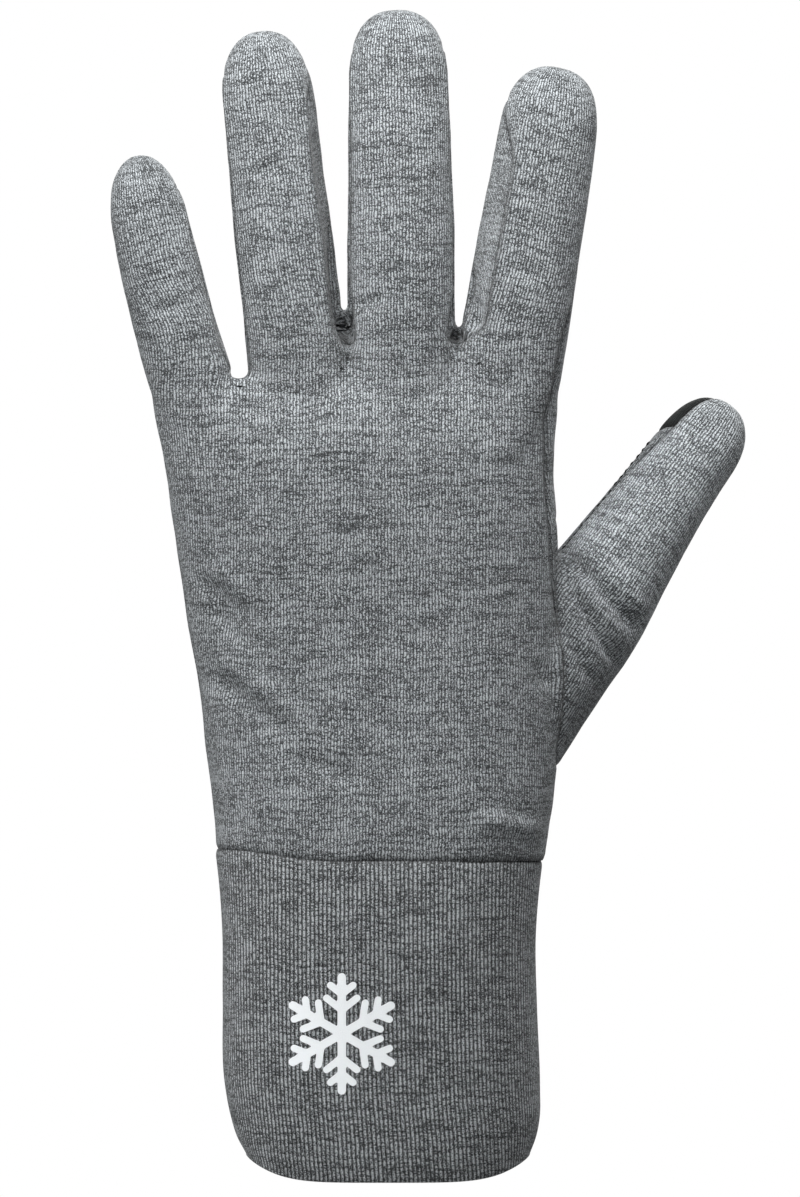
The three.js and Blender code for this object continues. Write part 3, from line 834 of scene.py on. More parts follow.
class Nodes:
    """Short calls that add nodes to one shader tree."""

    def __init__(self, tree: bpy.types.NodeTree) -> None:
        """Takes the tree that the nodes go in."""
        self.tree = tree

    def add(self, kind: str, **settings: object) -> bpy.types.Node:
        """Adds a node and sets its own settings."""
        node = self.tree.nodes.new(kind)
        for key, value in settings.items():
            setattr(node, key, value)
        return node

    def feed(self, target: bpy.types.NodeSocket, source: object) -> None:
        """Links a socket to the target, or sets the target's value."""
        if isinstance(source, bpy.types.NodeSocket):
            self.tree.links.new(source, target)
        elif isinstance(source, (tuple, list)) and len(source) == 3 and target.type == "RGBA":
            target.default_value = (*source, 1.0)
        else:
            target.default_value = source

    def math(self, operation: str, *values: object, clamp: bool = False) -> bpy.types.NodeSocket:
        """A Math node's result."""
        node = self.add("ShaderNodeMath", operation=operation, use_clamp=clamp)
        for socket, value in zip(node.inputs, values):
            self.feed(socket, value)
        return node.outputs[0]

    def mix(self, share: object, a: object, b: object, blend: str = "MIX") -> bpy.types.NodeSocket:
        """A Mix node's colour."""
        node = self.add("ShaderNodeMix", data_type="RGBA", blend_type=blend)
        self.feed(node.inputs["Factor"], share)
        self.feed(node.inputs[6], a)
        self.feed(node.inputs[7], b)
        return node.outputs[2]

    def noise(self, vector: object, scale: float, detail: float) -> bpy.types.NodeSocket:
        """A Noise Texture's value."""
        node = self.add("ShaderNodeTexNoise", noise_dimensions="3D")
        self.feed(node.inputs["Vector"], vector)
        node.inputs["Scale"].default_value = scale
        node.inputs["Detail"].default_value = detail
        node.inputs["Roughness"].default_value = 0.5
        return node.outputs[0]

    def vector(self, x: object, y: object, z: object = 0.0) -> bpy.types.NodeSocket:
        """Three values as one vector."""
        node = self.add("ShaderNodeCombineXYZ")
        for socket, value in zip(node.inputs, (x, y, z)):
            self.feed(socket, value)
        return node.outputs[0]

    def parts(self, vector: object) -> tuple[bpy.types.NodeSocket, bpy.types.NodeSocket]:
        """The X and Y of a vector."""
        node = self.add("ShaderNodeSeparateXYZ")
        self.feed(node.inputs[0], vector)
        return node.outputs[0], node.outputs[1]

    def bump(self, height: object, distance: float) -> bpy.types.NodeSocket:
        """A Bump node's normal, for a height that is distance metres at 1."""
        node = self.add("ShaderNodeBump")
        node.inputs["Strength"].default_value = 1.0
        node.inputs["Distance"].default_value = distance
        self.feed(node.inputs["Height"], height)
        return node.outputs[0]

    def finish(self, kind: str, shader: bpy.types.Node) -> None:
        """Sends a shader to the tree's output node."""
        self.feed(self.add(kind).inputs["Surface"], shader.outputs[0])

    def group(self, tree: bpy.types.NodeTree, **values: object) -> bpy.types.Node:
        """Places a node group and feeds its inputs, whose spaces are written as underscores."""
        node = self.add("ShaderNodeGroup", node_tree=tree)
        for key, value in values.items():
            self.feed(node.inputs[key.replace("_", " ")], value)
        return node


def new_material(name: str) -> tuple[bpy.types.Material, Nodes]:
    """A material with an empty tree, and the calls that fill it."""
    made = bpy.data.materials.new(name)
    made.use_nodes = True
    made.node_tree.nodes.clear()
    return made, Nodes(made.node_tree)


def new_group(
    name: str, inputs: Sequence[tuple[str, str]], outputs: Sequence[tuple[str, str]]
) -> tuple[Nodes, bpy.types.Node, bpy.types.Node]:
    """An empty shader node group.

    Args:
        name: its name.
        inputs: names and socket kinds going in.
        outputs: names and socket kinds coming out.

    Returns:
        Calls for its tree, its input node and its output node.
    """
    tree = bpy.data.node_groups.new(name, "ShaderNodeTree")
    for way, rows in (("INPUT", inputs), ("OUTPUT", outputs)):
        for label, kind in rows:
            tree.interface.new_socket(label, in_out=way, socket_type=f"NodeSocket{kind}")
    nodes = Nodes(tree)
    return nodes, nodes.add("NodeGroupInput"), nodes.add("NodeGroupOutput")


class KnitGroups:
    """The shader node groups that the knitted finishes share, each made once."""

    # The sway of the columns: scale and detail of its two noises, and the broad one's share
    BROAD_SWAY = (2.2, 2.0)
    FINE_SWAY = (9.0, 1.0)
    BROAD_SHARE = 1.6
    # The stitch: how steep its V is, how its column rounds off, and how much each strand stands out
    VEE = 0.55
    CROWN = 2.6
    CROWN_TOP = 1.02
    STRAND = 0.15
    # The yarn: scales in X and Y of streaks and flecks, how far the streaks sag, and the rest
    STREAK = (0.6, 13.0)
    FLECK = (34.0, 30.0)
    FLECK_SHARE = 3.2
    SAG = 0.5
    SAG_NOISE = (0.7, 1.0)
    PATCH = (1.6, 2.0)
    PLAIN_NOISE = (1.0, 1.0)
    SOFT_LIMIT = 4.0

    def __init__(self) -> None:
        """Makes the groups."""
        self.stitches = self.make_stitches()
        self.heather = self.make_heather()

    @classmethod
    def make_stitches(cls) -> bpy.types.NodeTree:
        """Columns of V-shaped stitches: their height, their furrows for painted shade and a number
        for each.
        """
        n, ins, outs = new_group(
            "knit_stitches",
            [
                ("Place", "Vector"),
                ("Wale", "Float"),
                ("Course", "Float"),
                ("Slack", "Float"),
                ("Bend", "Float"),
            ],
            [("Height", "Float"), ("Furrow shade", "Float"), ("Stitch", "Vector")],
        )
        x, y = n.parts(ins.outputs["Place"])
        sway = n.math("SUBTRACT", n.noise(ins.outputs["Place"], *cls.BROAD_SWAY), 0.5)
        sway_fine = n.math("SUBTRACT", n.noise(ins.outputs["Place"], *cls.FINE_SWAY), 0.5)
        both = n.math("ADD", n.math("MULTIPLY", sway, cls.BROAD_SHARE), sway_fine)
        drift = n.math("MULTIPLY", both, ins.outputs["Slack"])
        u = n.math("ADD", n.math("DIVIDE", x, ins.outputs["Wale"]), drift)
        column = n.math("FLOOR", u)
        off_middle = n.math("ABSOLUTE", n.math("SUBTRACT", n.math("FRACT", u), 0.5))
        aside = n.math("MULTIPLY", off_middle, 2.0)
        v = n.math("DIVIDE", y, ins.outputs["Course"])
        raised = n.math("ADD", v, n.math("MULTIPLY", aside, cls.VEE))
        row = n.math("FLOOR", raised)
        strand = n.math("SINE", n.math("MULTIPLY", n.math("FRACT", raised), math.pi))
        crown = n.math("SQRT", n.math("SUBTRACT", cls.CROWN_TOP, n.math("POWER", aside, cls.CROWN)))
        strands = n.math("MULTIPLY_ADD", strand, cls.STRAND, 1 - cls.STRAND)
        height = n.math("MULTIPLY", crown, strands)
        furrow_shade = n.math("POWER", aside, ins.outputs["Bend"])
        n.feed(outs.inputs["Height"], height)
        n.feed(outs.inputs["Furrow shade"], furrow_shade)
        n.feed(outs.inputs["Stitch"], n.vector(column, row))
        return n.tree

    @classmethod
    def make_heather(cls) -> bpy.types.NodeTree:
        """The mixed tones of heather yarn, by stitch, along the courses and in patches."""
        n, ins, outs = new_group(
            "heather_yarn",
            [
                ("Place", "Vector"),
                ("Stitch", "Vector"),
                ("Dark", "Color"),
                ("Light", "Color"),
                ("Stitch share", "Float"),
                ("Streak share", "Float"),
                ("Patch share", "Float"),
                ("Spread", "Float"),
            ],
            [("Color", "Color"), ("Tone", "Float")],
        )
        white = n.add("ShaderNodeTexWhiteNoise", noise_dimensions="2D")
        n.feed(white.inputs["Vector"], ins.outputs["Stitch"])
        single = n.math("SUBTRACT", white.outputs["Value"], 0.5)
        x, y = n.parts(ins.outputs["Place"])
        sag = n.math("MULTIPLY", n.noise(ins.outputs["Place"], *cls.SAG_NOISE), cls.SAG)
        low = n.math("ADD", y, sag)
        wide, high = cls.STREAK
        lane = n.vector(n.math("MULTIPLY", x, wide), n.math("MULTIPLY", low, high))
        streak = n.math("SUBTRACT", n.noise(lane, *cls.PLAIN_NOISE), 0.5)
        wide, high = cls.FLECK
        fine = n.vector(n.math("MULTIPLY", x, wide), n.math("MULTIPLY", y, high))
        fleck = n.math("SUBTRACT", n.noise(fine, *cls.PLAIN_NOISE), 0.5)
        patch = n.math("SUBTRACT", n.noise(ins.outputs["Place"], *cls.PATCH), 0.5)
        both = n.math("ADD", streak, n.math("MULTIPLY", fleck, cls.FLECK_SHARE))
        tone = n.math("MULTIPLY", single, ins.outputs["Stitch share"])
        tone = n.math("MULTIPLY_ADD", both, ins.outputs["Streak share"], tone)
        tone = n.math("MULTIPLY_ADD", patch, ins.outputs["Patch share"], tone)
        swing = n.math("MULTIPLY", tone, ins.outputs["Spread"])
        square = n.math("MULTIPLY", swing, swing)
        limit = n.math("SQRT", n.math("MULTIPLY_ADD", square, cls.SOFT_LIMIT, 1.0))
        tone = n.math("ADD", n.math("DIVIDE", swing, limit), 0.5, clamp=True)
        n.feed(outs.inputs["Color"], n.mix(tone, ins.outputs["Dark"], ins.outputs["Light"]))
        n.feed(outs.inputs["Tone"], tone)
        return n.tree


@dataclass(frozen=True)
class KnitFinish:
    """A heather knit.

    Args:
        name: the material's name.
        wale, course: pitch of the columns and rows, in centimetres.
        dark, light: the yarn's two tones.
        stitch, streak, patch: shares of the three kinds of mixing.
        spread: how strongly they show.
        furrow_shade: how strong the painted shade is in the furrows between the columns.
        seam: how strong the painted shade of the seam attribute is, beside seams, in creases and on
            the thumb's base.
        relief: height of the stitches in metres.
        slack: how much the columns sway.
        bend: how narrow the furrows are.
        roughness: how rough it is.
        sheen: the soft light of its fuzz.
    """

    name: str
    wale: float
    course: float
    dark: tuple[float, float, float]
    light: tuple[float, float, float]
    stitch: float = 0.45
    streak: float = 0.8
    patch: float = 0.45
    spread: float = 2.8
    furrow_shade: float = 0.93
    seam: float = 0.55
    relief: float = 0.00024
    slack: float = 0.7
    bend: float = 2.0
    roughness: float = 0.92
    sheen: float = 0.15

    SHEEN_ROUGHNESS = 0.6
    SPECULAR = 0.2
    LIGHT_GLOSS = -0.08  # how much less rough the lightest yarn is

    def material(self, groups: KnitGroups) -> bpy.types.Material:
        """The finish as a material.

        Args:
            groups: the shared node groups.

        Returns:
            The material.
        """
        made, n = new_material(self.name)
        place = n.add("ShaderNodeUVMap", uv_map="knit").outputs[0]
        knit = n.group(
            groups.stitches,
            Place=place,
            Wale=self.wale,
            Course=self.course,
            Slack=self.slack,
            Bend=self.bend,
        )
        yarn = n.group(
            groups.heather,
            Place=place,
            Stitch=knit.outputs["Stitch"],
            Dark=self.dark,
            Light=self.light,
            Stitch_share=self.stitch,
            Streak_share=self.streak,
            Patch_share=self.patch,
            Spread=self.spread,
        )
        # Painted shade: darker in the furrows between the columns, and where the seam attribute
        # holds shade
        near = n.add("ShaderNodeAttribute", attribute_name="seam").outputs["Fac"]
        shade = n.math("MULTIPLY", knit.outputs["Furrow shade"], self.furrow_shade)
        painted_seam_shade = n.math("MULTIPLY", near, self.seam)
        open_knit, by_painted_shade = n.math("SUBTRACT", 1.0, shade), n.math("SUBTRACT", 1.0, painted_seam_shade)
        bright = n.math("MULTIPLY", open_knit, by_painted_shade)
        color = n.mix(1.0, yarn.outputs["Color"], n.vector(bright, bright, bright), "MULTIPLY")
        shader = n.add("ShaderNodeBsdfPrincipled")
        n.feed(shader.inputs["Base Color"], color)
        rough = n.math("MULTIPLY_ADD", yarn.outputs["Tone"], self.LIGHT_GLOSS, self.roughness)
        n.feed(shader.inputs["Roughness"], rough)
        shader.inputs["Sheen Weight"].default_value = self.sheen
        shader.inputs["Sheen Roughness"].default_value = self.SHEEN_ROUGHNESS
        shader.inputs["Specular IOR Level"].default_value = self.SPECULAR
        n.feed(shader.inputs["Normal"], n.bump(knit.outputs["Height"], self.relief))
        n.finish("ShaderNodeOutputMaterial", shader)
        return made


HAND_KNIT = KnitFinish(
    "hand_knit",
    wale=0.070,
    course=0.050,
    dark=(0.028, 0.032, 0.035),
    light=(0.46, 0.492, 0.512),
    bend=1.6,
)
# A lighter copy of the hand's knit for the thumb's back: painted light where the thumb catches more
# of the lamps
LIT_THUMB_KNIT = replace(HAND_KNIT, name="thumb_knit_painted_light", light=(0.65, 0.694, 0.722), spread=2.1)
CUFF_KNIT = KnitFinish(
    "cuff_knit",
    wale=0.095,
    course=0.050,
    dark=(0.028, 0.032, 0.034),
    light=(0.53, 0.562, 0.582),
    furrow_shade=0.97,
    relief=0.00045,
    bend=1.3,
    slack=0.2,
)
PAD_KNIT = KnitFinish(
    "pad_knit",
    wale=0.055,
    course=0.045,
    dark=(0.0015, 0.0024, 0.0024),
    light=(0.007, 0.0105, 0.0105),
    furrow_shade=0.5,
    relief=0.00018,
    sheen=0.05,
    roughness=0.8,
)


@dataclass(frozen=True)
class PrintFinish:
    """The white print, slightly worn.

    Args:
        worn, fresh: its two tones.
        grain: scale of the wear.
        relief: height of the wear in metres.
        roughness, worn_roughness: how rough it is, and how much rougher where it is worn.
    """

    worn: tuple[float, float, float] = (0.86, 0.9, 0.92)
    fresh: tuple[float, float, float] = (0.95, 0.98, 1.0)
    grain: float = 40.0
    relief: float = 0.0001
    roughness: float = 0.55
    worn_roughness: float = 0.1

    GRAIN_DETAIL = 2.0

    def material(self) -> bpy.types.Material:
        """The finish as a material."""
        made, n = new_material("print_white")
        place = n.add("ShaderNodeUVMap", uv_map="knit").outputs[0]
        speckle = n.noise(place, self.grain, self.GRAIN_DETAIL)
        shader = n.add("ShaderNodeBsdfPrincipled")
        n.feed(shader.inputs["Base Color"], n.mix(speckle, self.worn, self.fresh))
        rough = n.math("MULTIPLY_ADD", speckle, self.worn_roughness, self.roughness)
        n.feed(shader.inputs["Roughness"], rough)
        n.feed(shader.inputs["Normal"], n.bump(speckle, self.relief))
        n.finish("ShaderNodeOutputMaterial", shader)
        return made


@dataclass(frozen=True)
class Thread:
    """Short stitches of dark thread that show along a seam.

    Args:
        pitch: from one stitch to the next.
        length: of each stitch.
        radius: of the thread.
        arch: how far a stitch's middle rises above its ends.
    """

    pitch: float = 2.0
    length: float = 1.4
    radius: float = 0.17
    arch: float = 0.2

    SIDES = 6
    ALONG = (-1.0, -0.75, 0.0, 0.75, 1.0)
    THICK = (0.3, 0.9, 1.0, 0.9, 0.3)
    SHORTEST = 1e-6

    def stitch(self, middle: np.ndarray, run: np.ndarray, up: np.ndarray) -> np.ndarray:
        """The rings of one stitch.

        Args:
            middle: where it is.
            run, up: unit directions along it and away from the knit.

        Returns:
            Rings by points by three.
        """
        aside = np.cross(run, up)
        aside /= np.linalg.norm(aside)
        angle = np.linspace(0, 2 * np.pi, self.SIDES, endpoint=False)[:, None]
        rings = []
        for along, thick in zip(self.ALONG, self.THICK):
            centre = middle + run * along * self.length / 2 + up * self.arch * (1 - along**2)
            round_it = np.cos(angle) * aside + np.sin(angle) * up
            rings.append(centre + self.radius * thick * round_it)
        return np.array(rings)

    def sew(self, skin: Skin, path: np.ndarray) -> list[Form]:
        """Stitches along a path close to the skin.

        Args:
            skin: the skin.
            path: the path's points in order.

        Returns:
            Points and faces of each stitch.
        """
        tree = tree_of(skin.points)
        normals = skin.normals()
        step = np.linalg.norm(np.diff(path, axis=0), axis=1)
        run = np.concatenate([[0.0], np.cumsum(step)])
        count = max(2, int(run[-1] / self.pitch))
        places = np.linspace(0, run[-1], count)
        line = np.stack([np.interp(places, run, path[:, k]) for k in range(3)], axis=1)
        found = [tree.find(p)[1] for p in line]
        line, up = skin.points[found], normals[found]
        out = []
        for k in range(count - 1):
            way = line[k + 1] - line[k]
            if np.linalg.norm(way) > self.SHORTEST:
                way = way / np.linalg.norm(way)
                out.append(loft(self.stitch((line[k] + line[k + 1]) / 2, way, up[k])))
        return out


def panel_node(panel: Panel) -> str:
    """The CAD node that a panel stands for."""
    return {
        Panel.BACK: "back_panel",
        Panel.PALM: "palm_panel",
        Panel.LITTLE_RING: "strip_little_ring",
        Panel.RING_MIDDLE: "strip_ring_middle",
        Panel.MIDDLE_INDEX: "strip_middle_index",
        Panel.THUMB_BACK: "thumb_back",
        Panel.THUMB_PALM: "thumb_palm",
        Panel.THUMB_PAD: "thumb_pad",
    }[panel]


@dataclass
class Hand:
    """The hand above the wrist seam: one skin, cut into its panels along the real seams.

    Args:
        voxel: how fine the skin is.
        wall: thickness of the knit.
        groove, groove_width: how deep and how wide the seams are sunk.
        crotch_depth: how deep the strips lie at the crotches.
        crotch_width: how soon beside a seam they do.
        square: exponent of the hand's sections.
        fingers, strips, thumb: its limbs and what lies between them.
        sections: from below the wrist seam up, each with its height, left and right edge, depth
            and how far it lies towards the palm.
        folds: the folds and wrinkles.
        thumb_thread: distances along the thumb between which thread shows.
        crotch_thread_and_shade_marks: dark stitches below the crotches, as places in X and Z;
            partly bar-tack thread and partly painted shade where the crotch's gap is in shade.
    """

    voxel: float = 0.75
    wall: float = 1.1
    groove: float = 0.45
    groove_width: float = 0.75
    crotch_depth: float = 2.6
    crotch_width: float = 1.4
    square: float = 2.5
    fingers: tuple[Finger, ...] = (
        Finger(-43.95, 51.2, -17.0, -10.0, 9.55, 8.3, 2.1),
        Finger(-19.6, 78.0, -6.6, -6.2, 11.35, 9.5, 2.3),
        Finger(3.0, 82.0, 0.0, -1.4, 12.4, 10.0, 2.45),
        Finger(26.3, 70.2, 9.8, 9.2, 12.2, 9.8, 2.5),
    )
    strips: tuple[Strip, ...] = (
        Strip(Panel.LITTLE_RING, 27, 24, 38, 0.5, 2.0, 0.5),
        Strip(Panel.RING_MIDDLE, 43, 26, 38, 10.5, 8.0, 0.65),
        Strip(Panel.MIDDLE_INDEX, 22, 58, 38, 8.6, 5.0, 0.3),
    )
    thumb: Thumb = field(default_factory=Thumb)
    sections: tuple[tuple[float, float, float, float, float], ...] = (
        (66.0, -38.0, 34.6, 44.0, 0.0),
        (71.0, -38.0, 34.9, 44.0, 0.0),
        (84.4, -38.9, 36.8, 42.9, 0.8),
        (95.5, -40.4, 37.8, 41.4, 1.7),
        (108.9, -41.8, 38.2, 39.3, 2.2),
        (122.2, -44.2, 38.2, 36.7, 2.1),
        (135.5, -46.2, 37.8, 34.0, 1.4),
        (148.9, -48.2, 37.5, 31.3, 0.7),
        (155.5, -49.1, 36.9, 29.5, 0.3),
        (162.2, -50.2, 37.0, 27.2, 0.0),
        (168.9, -51.8, 37.6, 23.8, 0.0),
        (174.0, -52.6, 37.9, 19.6, 0.0),
        (178.0, -51.0, 36.8, 12.4, 0.0),
    )
    folds: tuple[Fold, ...] = (
        Fold(Face.BACK, (-44.0, 135.0), (-27.5, 122.6), 2.1, -1.0),
        Fold(Face.BACK, (-41.5, 137.5), (-26.5, 126.6), 2.1, 0.5),
        Fold(Face.BACK, (-41.0, 129.0), (-28.0, 117.4), 2.0, -0.8),
        Fold(Face.BACK, (-42.0, 114.5), (-18.3, 97.0), 2.2, -1.0),
        Fold(Face.BACK, (-40.2, 117.9), (-17.3, 101.0), 2.2, 0.5),
        Fold(Face.BACK, (-24.1, 95.0), (-3.2, 88.3), 2.1, -0.9),
        Fold(Face.BACK, (17.3, 80.6), (36.4, 77.4), 2.0, 0.9),
        Fold(Face.BACK, (-35.0, 172.0), (-25.0, 171.0), 1.4, -0.8),
        Fold(Face.BACK, (-31.0, 163.5), (-24.0, 163.0), 1.3, -0.7),
        Fold(Face.BACK, (32.6, 116.0), (35.0, 109.0), 1.6, -0.7),
        Fold(Face.BACK, (38.0, 141.5), (58.5, 119.0), 1.5, -1.6),
        Fold(Face.BACK, (43.0, 142.5), (60.5, 123.0), 1.7, 0.9),
        Fold(Face.BACK, (39.0, 134.0), (52.5, 111.5), 1.3, -1.4),
        Fold(Face.BACK, (40.0, 137.5), (55.0, 115.5), 1.3, 0.7),
        Fold(Face.BACK, (36.5, 128.0), (46.5, 107.5), 1.2, -0.9),
        Fold(Face.BACK, (-54.0, 192.5), (-44.0, 194.5), 1.4, -0.6),
        Fold(Face.BACK, (-33.0, 222.5), (-22.0, 225.5), 1.3, -0.5),
        Fold(Face.BACK, (-8.0, 193.5), (1.0, 196.5), 1.4, -0.6),
        Fold(Face.BACK, (24.0, 203.0), (36.0, 200.5), 1.4, -0.5),
        Fold(Face.PALM, (-34.0, 128.0), (20.0, 150.0), 4.0, -1.0),
        Fold(Face.PALM, (-30.0, 108.0), (12.0, 100.0), 3.5, -0.8),
    )
    thumb_thread: tuple[float, float] = (40.0, 80.0)
    crotch_thread_and_shade_marks: tuple[tuple[tuple[float, float], ...], ...] = (
        ((-34.6, 176.2), (-33.0, 175.5), (-31.4, 175.9)),
        ((-11.6, 180.6), (-10.4, 179.3), (-8.8, 179.6)),
        ((16.6, 182.0), (18.2, 180.8), (20.2, 180.9), (21.6, 181.9)),
    )

    BODY_SIDES = 96
    BODY_RINGS = 52
    WEB_SIDES = 24
    WEB_RISE = 1.7  # how far the web's form reaches above the strip's foot
    WEB_NECK = 6.0
    # Width and share of the depth at the web's foot, neck and top
    WEB_SIZES = ((5.0, 1.5), (3.6, 1.1), (0.8, 0.8))
    COARSE = 1.7  # how much coarser a quick skin is
    PULL = 0.5
    EVEN_ROUNDS = 12
    SOFT_ROUNDS = 12
    QUICK_SOFT_ROUNDS = 5
    # Ranges over which things start and end
    SOFT_Z = (158, 170, 176, 190)  # the knuckles, which are smoothed more
    SOFT_SIDE = 45
    ROOT_X, ROOT_Z, ROOT_TOP = (24, 36), (84, 98), (150, 165)  # the thumb's root, smoothed as well
    INNER_X = (-53, -49, 31, 35)  # the crotches' walls, which are smoothed less
    INNER_KEPT = 0.95
    INNER_FACING = (0.35, 0.8)
    SEAM_FORWARD = 5.5  # how far the thumb side's seam comes round to the back
    FORWARD_X, FORWARD_Z, FORWARD_TOP = (15, 30), (95, 150), (184, 205)
    SHADE_SPREAD = 1.2  # how much wider the painted shade beside a seam is than its groove
    CROTCH_TOP = (10, 20)  # heights above the knuckle line over which the sunk strips end
    CROTCH_FACING = (0.3, 0.8)
    WAVES = ((0.22, 0.06), (0.12, 0.17))  # height and scale of the slight unevenness
    OUTER_FOOT = -2.0  # height above the knuckle line where an outer finger's own knit starts
    FOOT_BLEND = 8  # how far above its foot a finger's knit follows the finger alone
    FAR_BLEND = (3, 26)
    EDGE_BLEND = (16, 8)  # distances from the hand's edge over which its knit turns round it
    THIN = 20  # least depth that the hand's knit is laid out for
    BACK_FACING = -0.3
    PATH_STEPS = 60
    STRIP_SLANT = 0.4

    def body_form(self) -> Form:
        """The hand without fingers and thumb, as a closed form."""
        heights = np.linspace(self.sections[0][0], self.sections[-1][0], self.BODY_RINGS)
        left, right, depth, belly = self.section_at(heights)
        angle = np.linspace(0, 2 * np.pi, self.BODY_SIDES, endpoint=False)
        rings = []
        for z, low, high, thick, back in zip(heights, left, right, depth, belly):
            u, v = rounded(angle, (high - low) / 2, thick / 2, self.square)
            level = np.full(self.BODY_SIDES, z)
            rings.append(np.stack([(low + high) / 2 + u, back + v, level], axis=1))
        return loft(np.array(rings))

    def section_at(self, heights: np.ndarray) -> tuple[np.ndarray, ...]:
        """Left edge, right edge, depth and place towards the palm at given heights."""
        table = np.array(self.sections)
        return tuple(curve_at(table[:, 0], table[:, k], heights) for k in range(1, 5))

    def web_form(self, index: int) -> Form:
        """The bridge of knit at the bottom of a crotch."""
        strip = self.strips[index]
        left, right = self.fingers[index], self.fingers[index + 1]
        top = KNUCKLE + strip.web - strip.foot + self.WEB_RISE
        heights = (KNUCKLE - Finger.ROOT, top - self.WEB_NECK, top)
        rings = []
        for z, (wide, slim) in zip(heights, self.WEB_SIZES):
            edges = []
            for finger, side in ((left, 1), (right, -1)):
                along = (z - KNUCKLE) / math.cos(math.radians(finger.lean))
                middle, _, _ = finger.line().at(np.array([along]))
                half, _ = finger.size(np.array([max(along, 0.0)]))
                edges.append(middle[0, 0] + side * half[0] / math.cos(math.radians(finger.lean)))
            angle = np.linspace(0, 2 * np.pi, self.WEB_SIDES, endpoint=False)
            u, v = rounded(angle, wide / 2, Strip.WEB_DEPTH / 2 * slim, 2)
            level = np.full(self.WEB_SIDES, z)
            back = bend_at(level) + Strip.WEB_BACK
            rings.append(np.stack([sum(edges) / 2 + u, back + v, level], axis=1))
        return loft(np.array(rings))

    def wrist_level(self, points: np.ndarray) -> np.ndarray:
        """How far points lie below the wrist seam."""
        return wrist_seam(points[:, 0]) - points[:, 2]

    def side_level(self, points: np.ndarray) -> np.ndarray:
        """How far points lie on the palm's side of the side seams."""
        x, y, z = points.T
        forward = self.SEAM_FORWARD * ease(x, *self.FORWARD_X) * ease(z, *self.FORWARD_Z)
        return y - bend_at(z) + forward * (1 - ease(z, *self.FORWARD_TOP))

    def strip_level(self, index: int) -> Level:
        """How far points lie inside one strip."""
        strip = self.strips[index]
        left, right = self.fingers[index], self.fingers[index + 1]

        def level(points: np.ndarray) -> np.ndarray:
            """Distances, positive inside."""
            return np.maximum(
                strip.side_level(left, 1, points), strip.side_level(right, -1, points)
            )

        return level

    def build_skin(self) -> Skin:
        """The skin, cut into its panels and shaped by its seams and folds."""
        forms = [self.body_form()]
        forms += [finger.form() for finger in self.fingers]
        forms += [self.web_form(k) for k in range(len(self.strips))]
        forms.append(self.thumb.form())
        skin = Skin.grown(forms, self.voxel * (1.0))
        skin.relax(self.EVEN_ROUNDS, self.PULL, True)
        x, _, z = skin.points.T
        soft = band(z, *self.SOFT_Z) * (x < self.SOFT_SIDE)
        base = ease(x, *self.ROOT_X) * ease(z, *self.ROOT_Z) * (1 - ease(z, *self.ROOT_TOP))
        wall = 1 - ease(np.abs(skin.normals()[:, 1]), *self.INNER_FACING)
        flat = 1 - self.INNER_KEPT * band(x, *self.INNER_X) * wall
        rounds = self.SOFT_ROUNDS
        skin.relax(rounds, self.PULL * np.maximum(soft * flat, base), False)
        skin.divide(self.wrist_level, [Panel.BACK], Panel.BELOW_WRIST)
        skin.drop(Panel.BELOW_WRIST)
        skin.divide(self.thumb.zone_level, [Panel.BACK], Panel.THUMB_BACK)
        skin.divide(self.thumb.half_level, [Panel.THUMB_BACK], Panel.THUMB_PALM)
        skin.divide(self.thumb.pad_level, [Panel.THUMB_PALM], Panel.THUMB_PAD)
        for k, strip in enumerate(self.strips):
            skin.divide(self.strip_level(k), [Panel.BACK], strip.panel)
        skin.divide(self.side_level, [Panel.BACK], Panel.PALM)
        return skin

    def shape_knit(self, skin: Skin) -> np.ndarray:
        """Sinks the seams, raises the folds and roughens the skin a little.

        Args:
            skin: the skin, whose points move.

        Returns:
            The painted shade on the knit at each point: beside a seam's groove, in a crotch's
            crease, on strips that face away from the light and on the thumb's base; 0 is plain.
        """
        gap = distance_to(skin.points, skin.seam_points())
        near = np.exp(-((gap / self.groove_width) ** 2))
        normal = skin.normals()
        lift = -self.groove * near
        strips = np.zeros(len(skin.points), bool)
        # Painted shade beside the seams' grooves, then on the strips and on the thumb's base
        shade = np.exp(-((gap / (self.groove_width * self.SHADE_SPREAD)) ** 2))
        for k, strip in enumerate(self.strips):
            inside = np.unique(skin.faces[skin.label == int(strip.panel)])
            strips[inside] = True
            dark = strip.painted_shade(self.fingers[k], self.fingers[k + 1], skin.points[inside])
            shade[inside] = np.maximum(shade[inside], dark)
        base = np.unique(skin.faces[skin.label == int(Panel.THUMB_BACK)])
        shade[base] = np.maximum(shade[base], self.thumb.painted_shade(skin.points[base]))
        low, high = self.CROTCH_TOP
        crotch = 1 - ease(skin.points[:, 2], KNUCKLE + low, KNUCKLE + high)
        crotch = crotch * ease(-normal[:, 1], *self.CROTCH_FACING)
        off_seam = 1 - np.exp(-((gap / self.crotch_width) ** 2))
        lift -= self.crotch_depth * strips * crotch * off_seam
        for k, strip in enumerate(self.strips):
            lift -= strip.flatten(self.fingers[k], 1, skin.points)
            lift -= strip.flatten(self.fingers[k + 1], -1, skin.points)
        for fold in self.folds:
            lift += fold.lift(skin.points, normal[:, 1])
        (swell, broad), (ripple, fine) = self.WAVES
        waves = np.array(
            [
                swell * noise.noise(Vector(p) * broad) + ripple * noise.noise(Vector(p) * fine)
                for p in skin.points
            ]
        )
        skin.points = skin.points + normal * (lift + waves)[:, None]
        return shade

    def crotch_foot(self, index: int) -> float:
        """Height above the knuckle line where the knit beside a finger becomes the finger's own.

        Args:
            index: which crotch it is, or one past either end for an outer side.

        Returns:
            The height.
        """
        if 0 <= index < len(self.strips):
            return self.strips[index].web - self.strips[index].foot
        return self.OUTER_FOOT

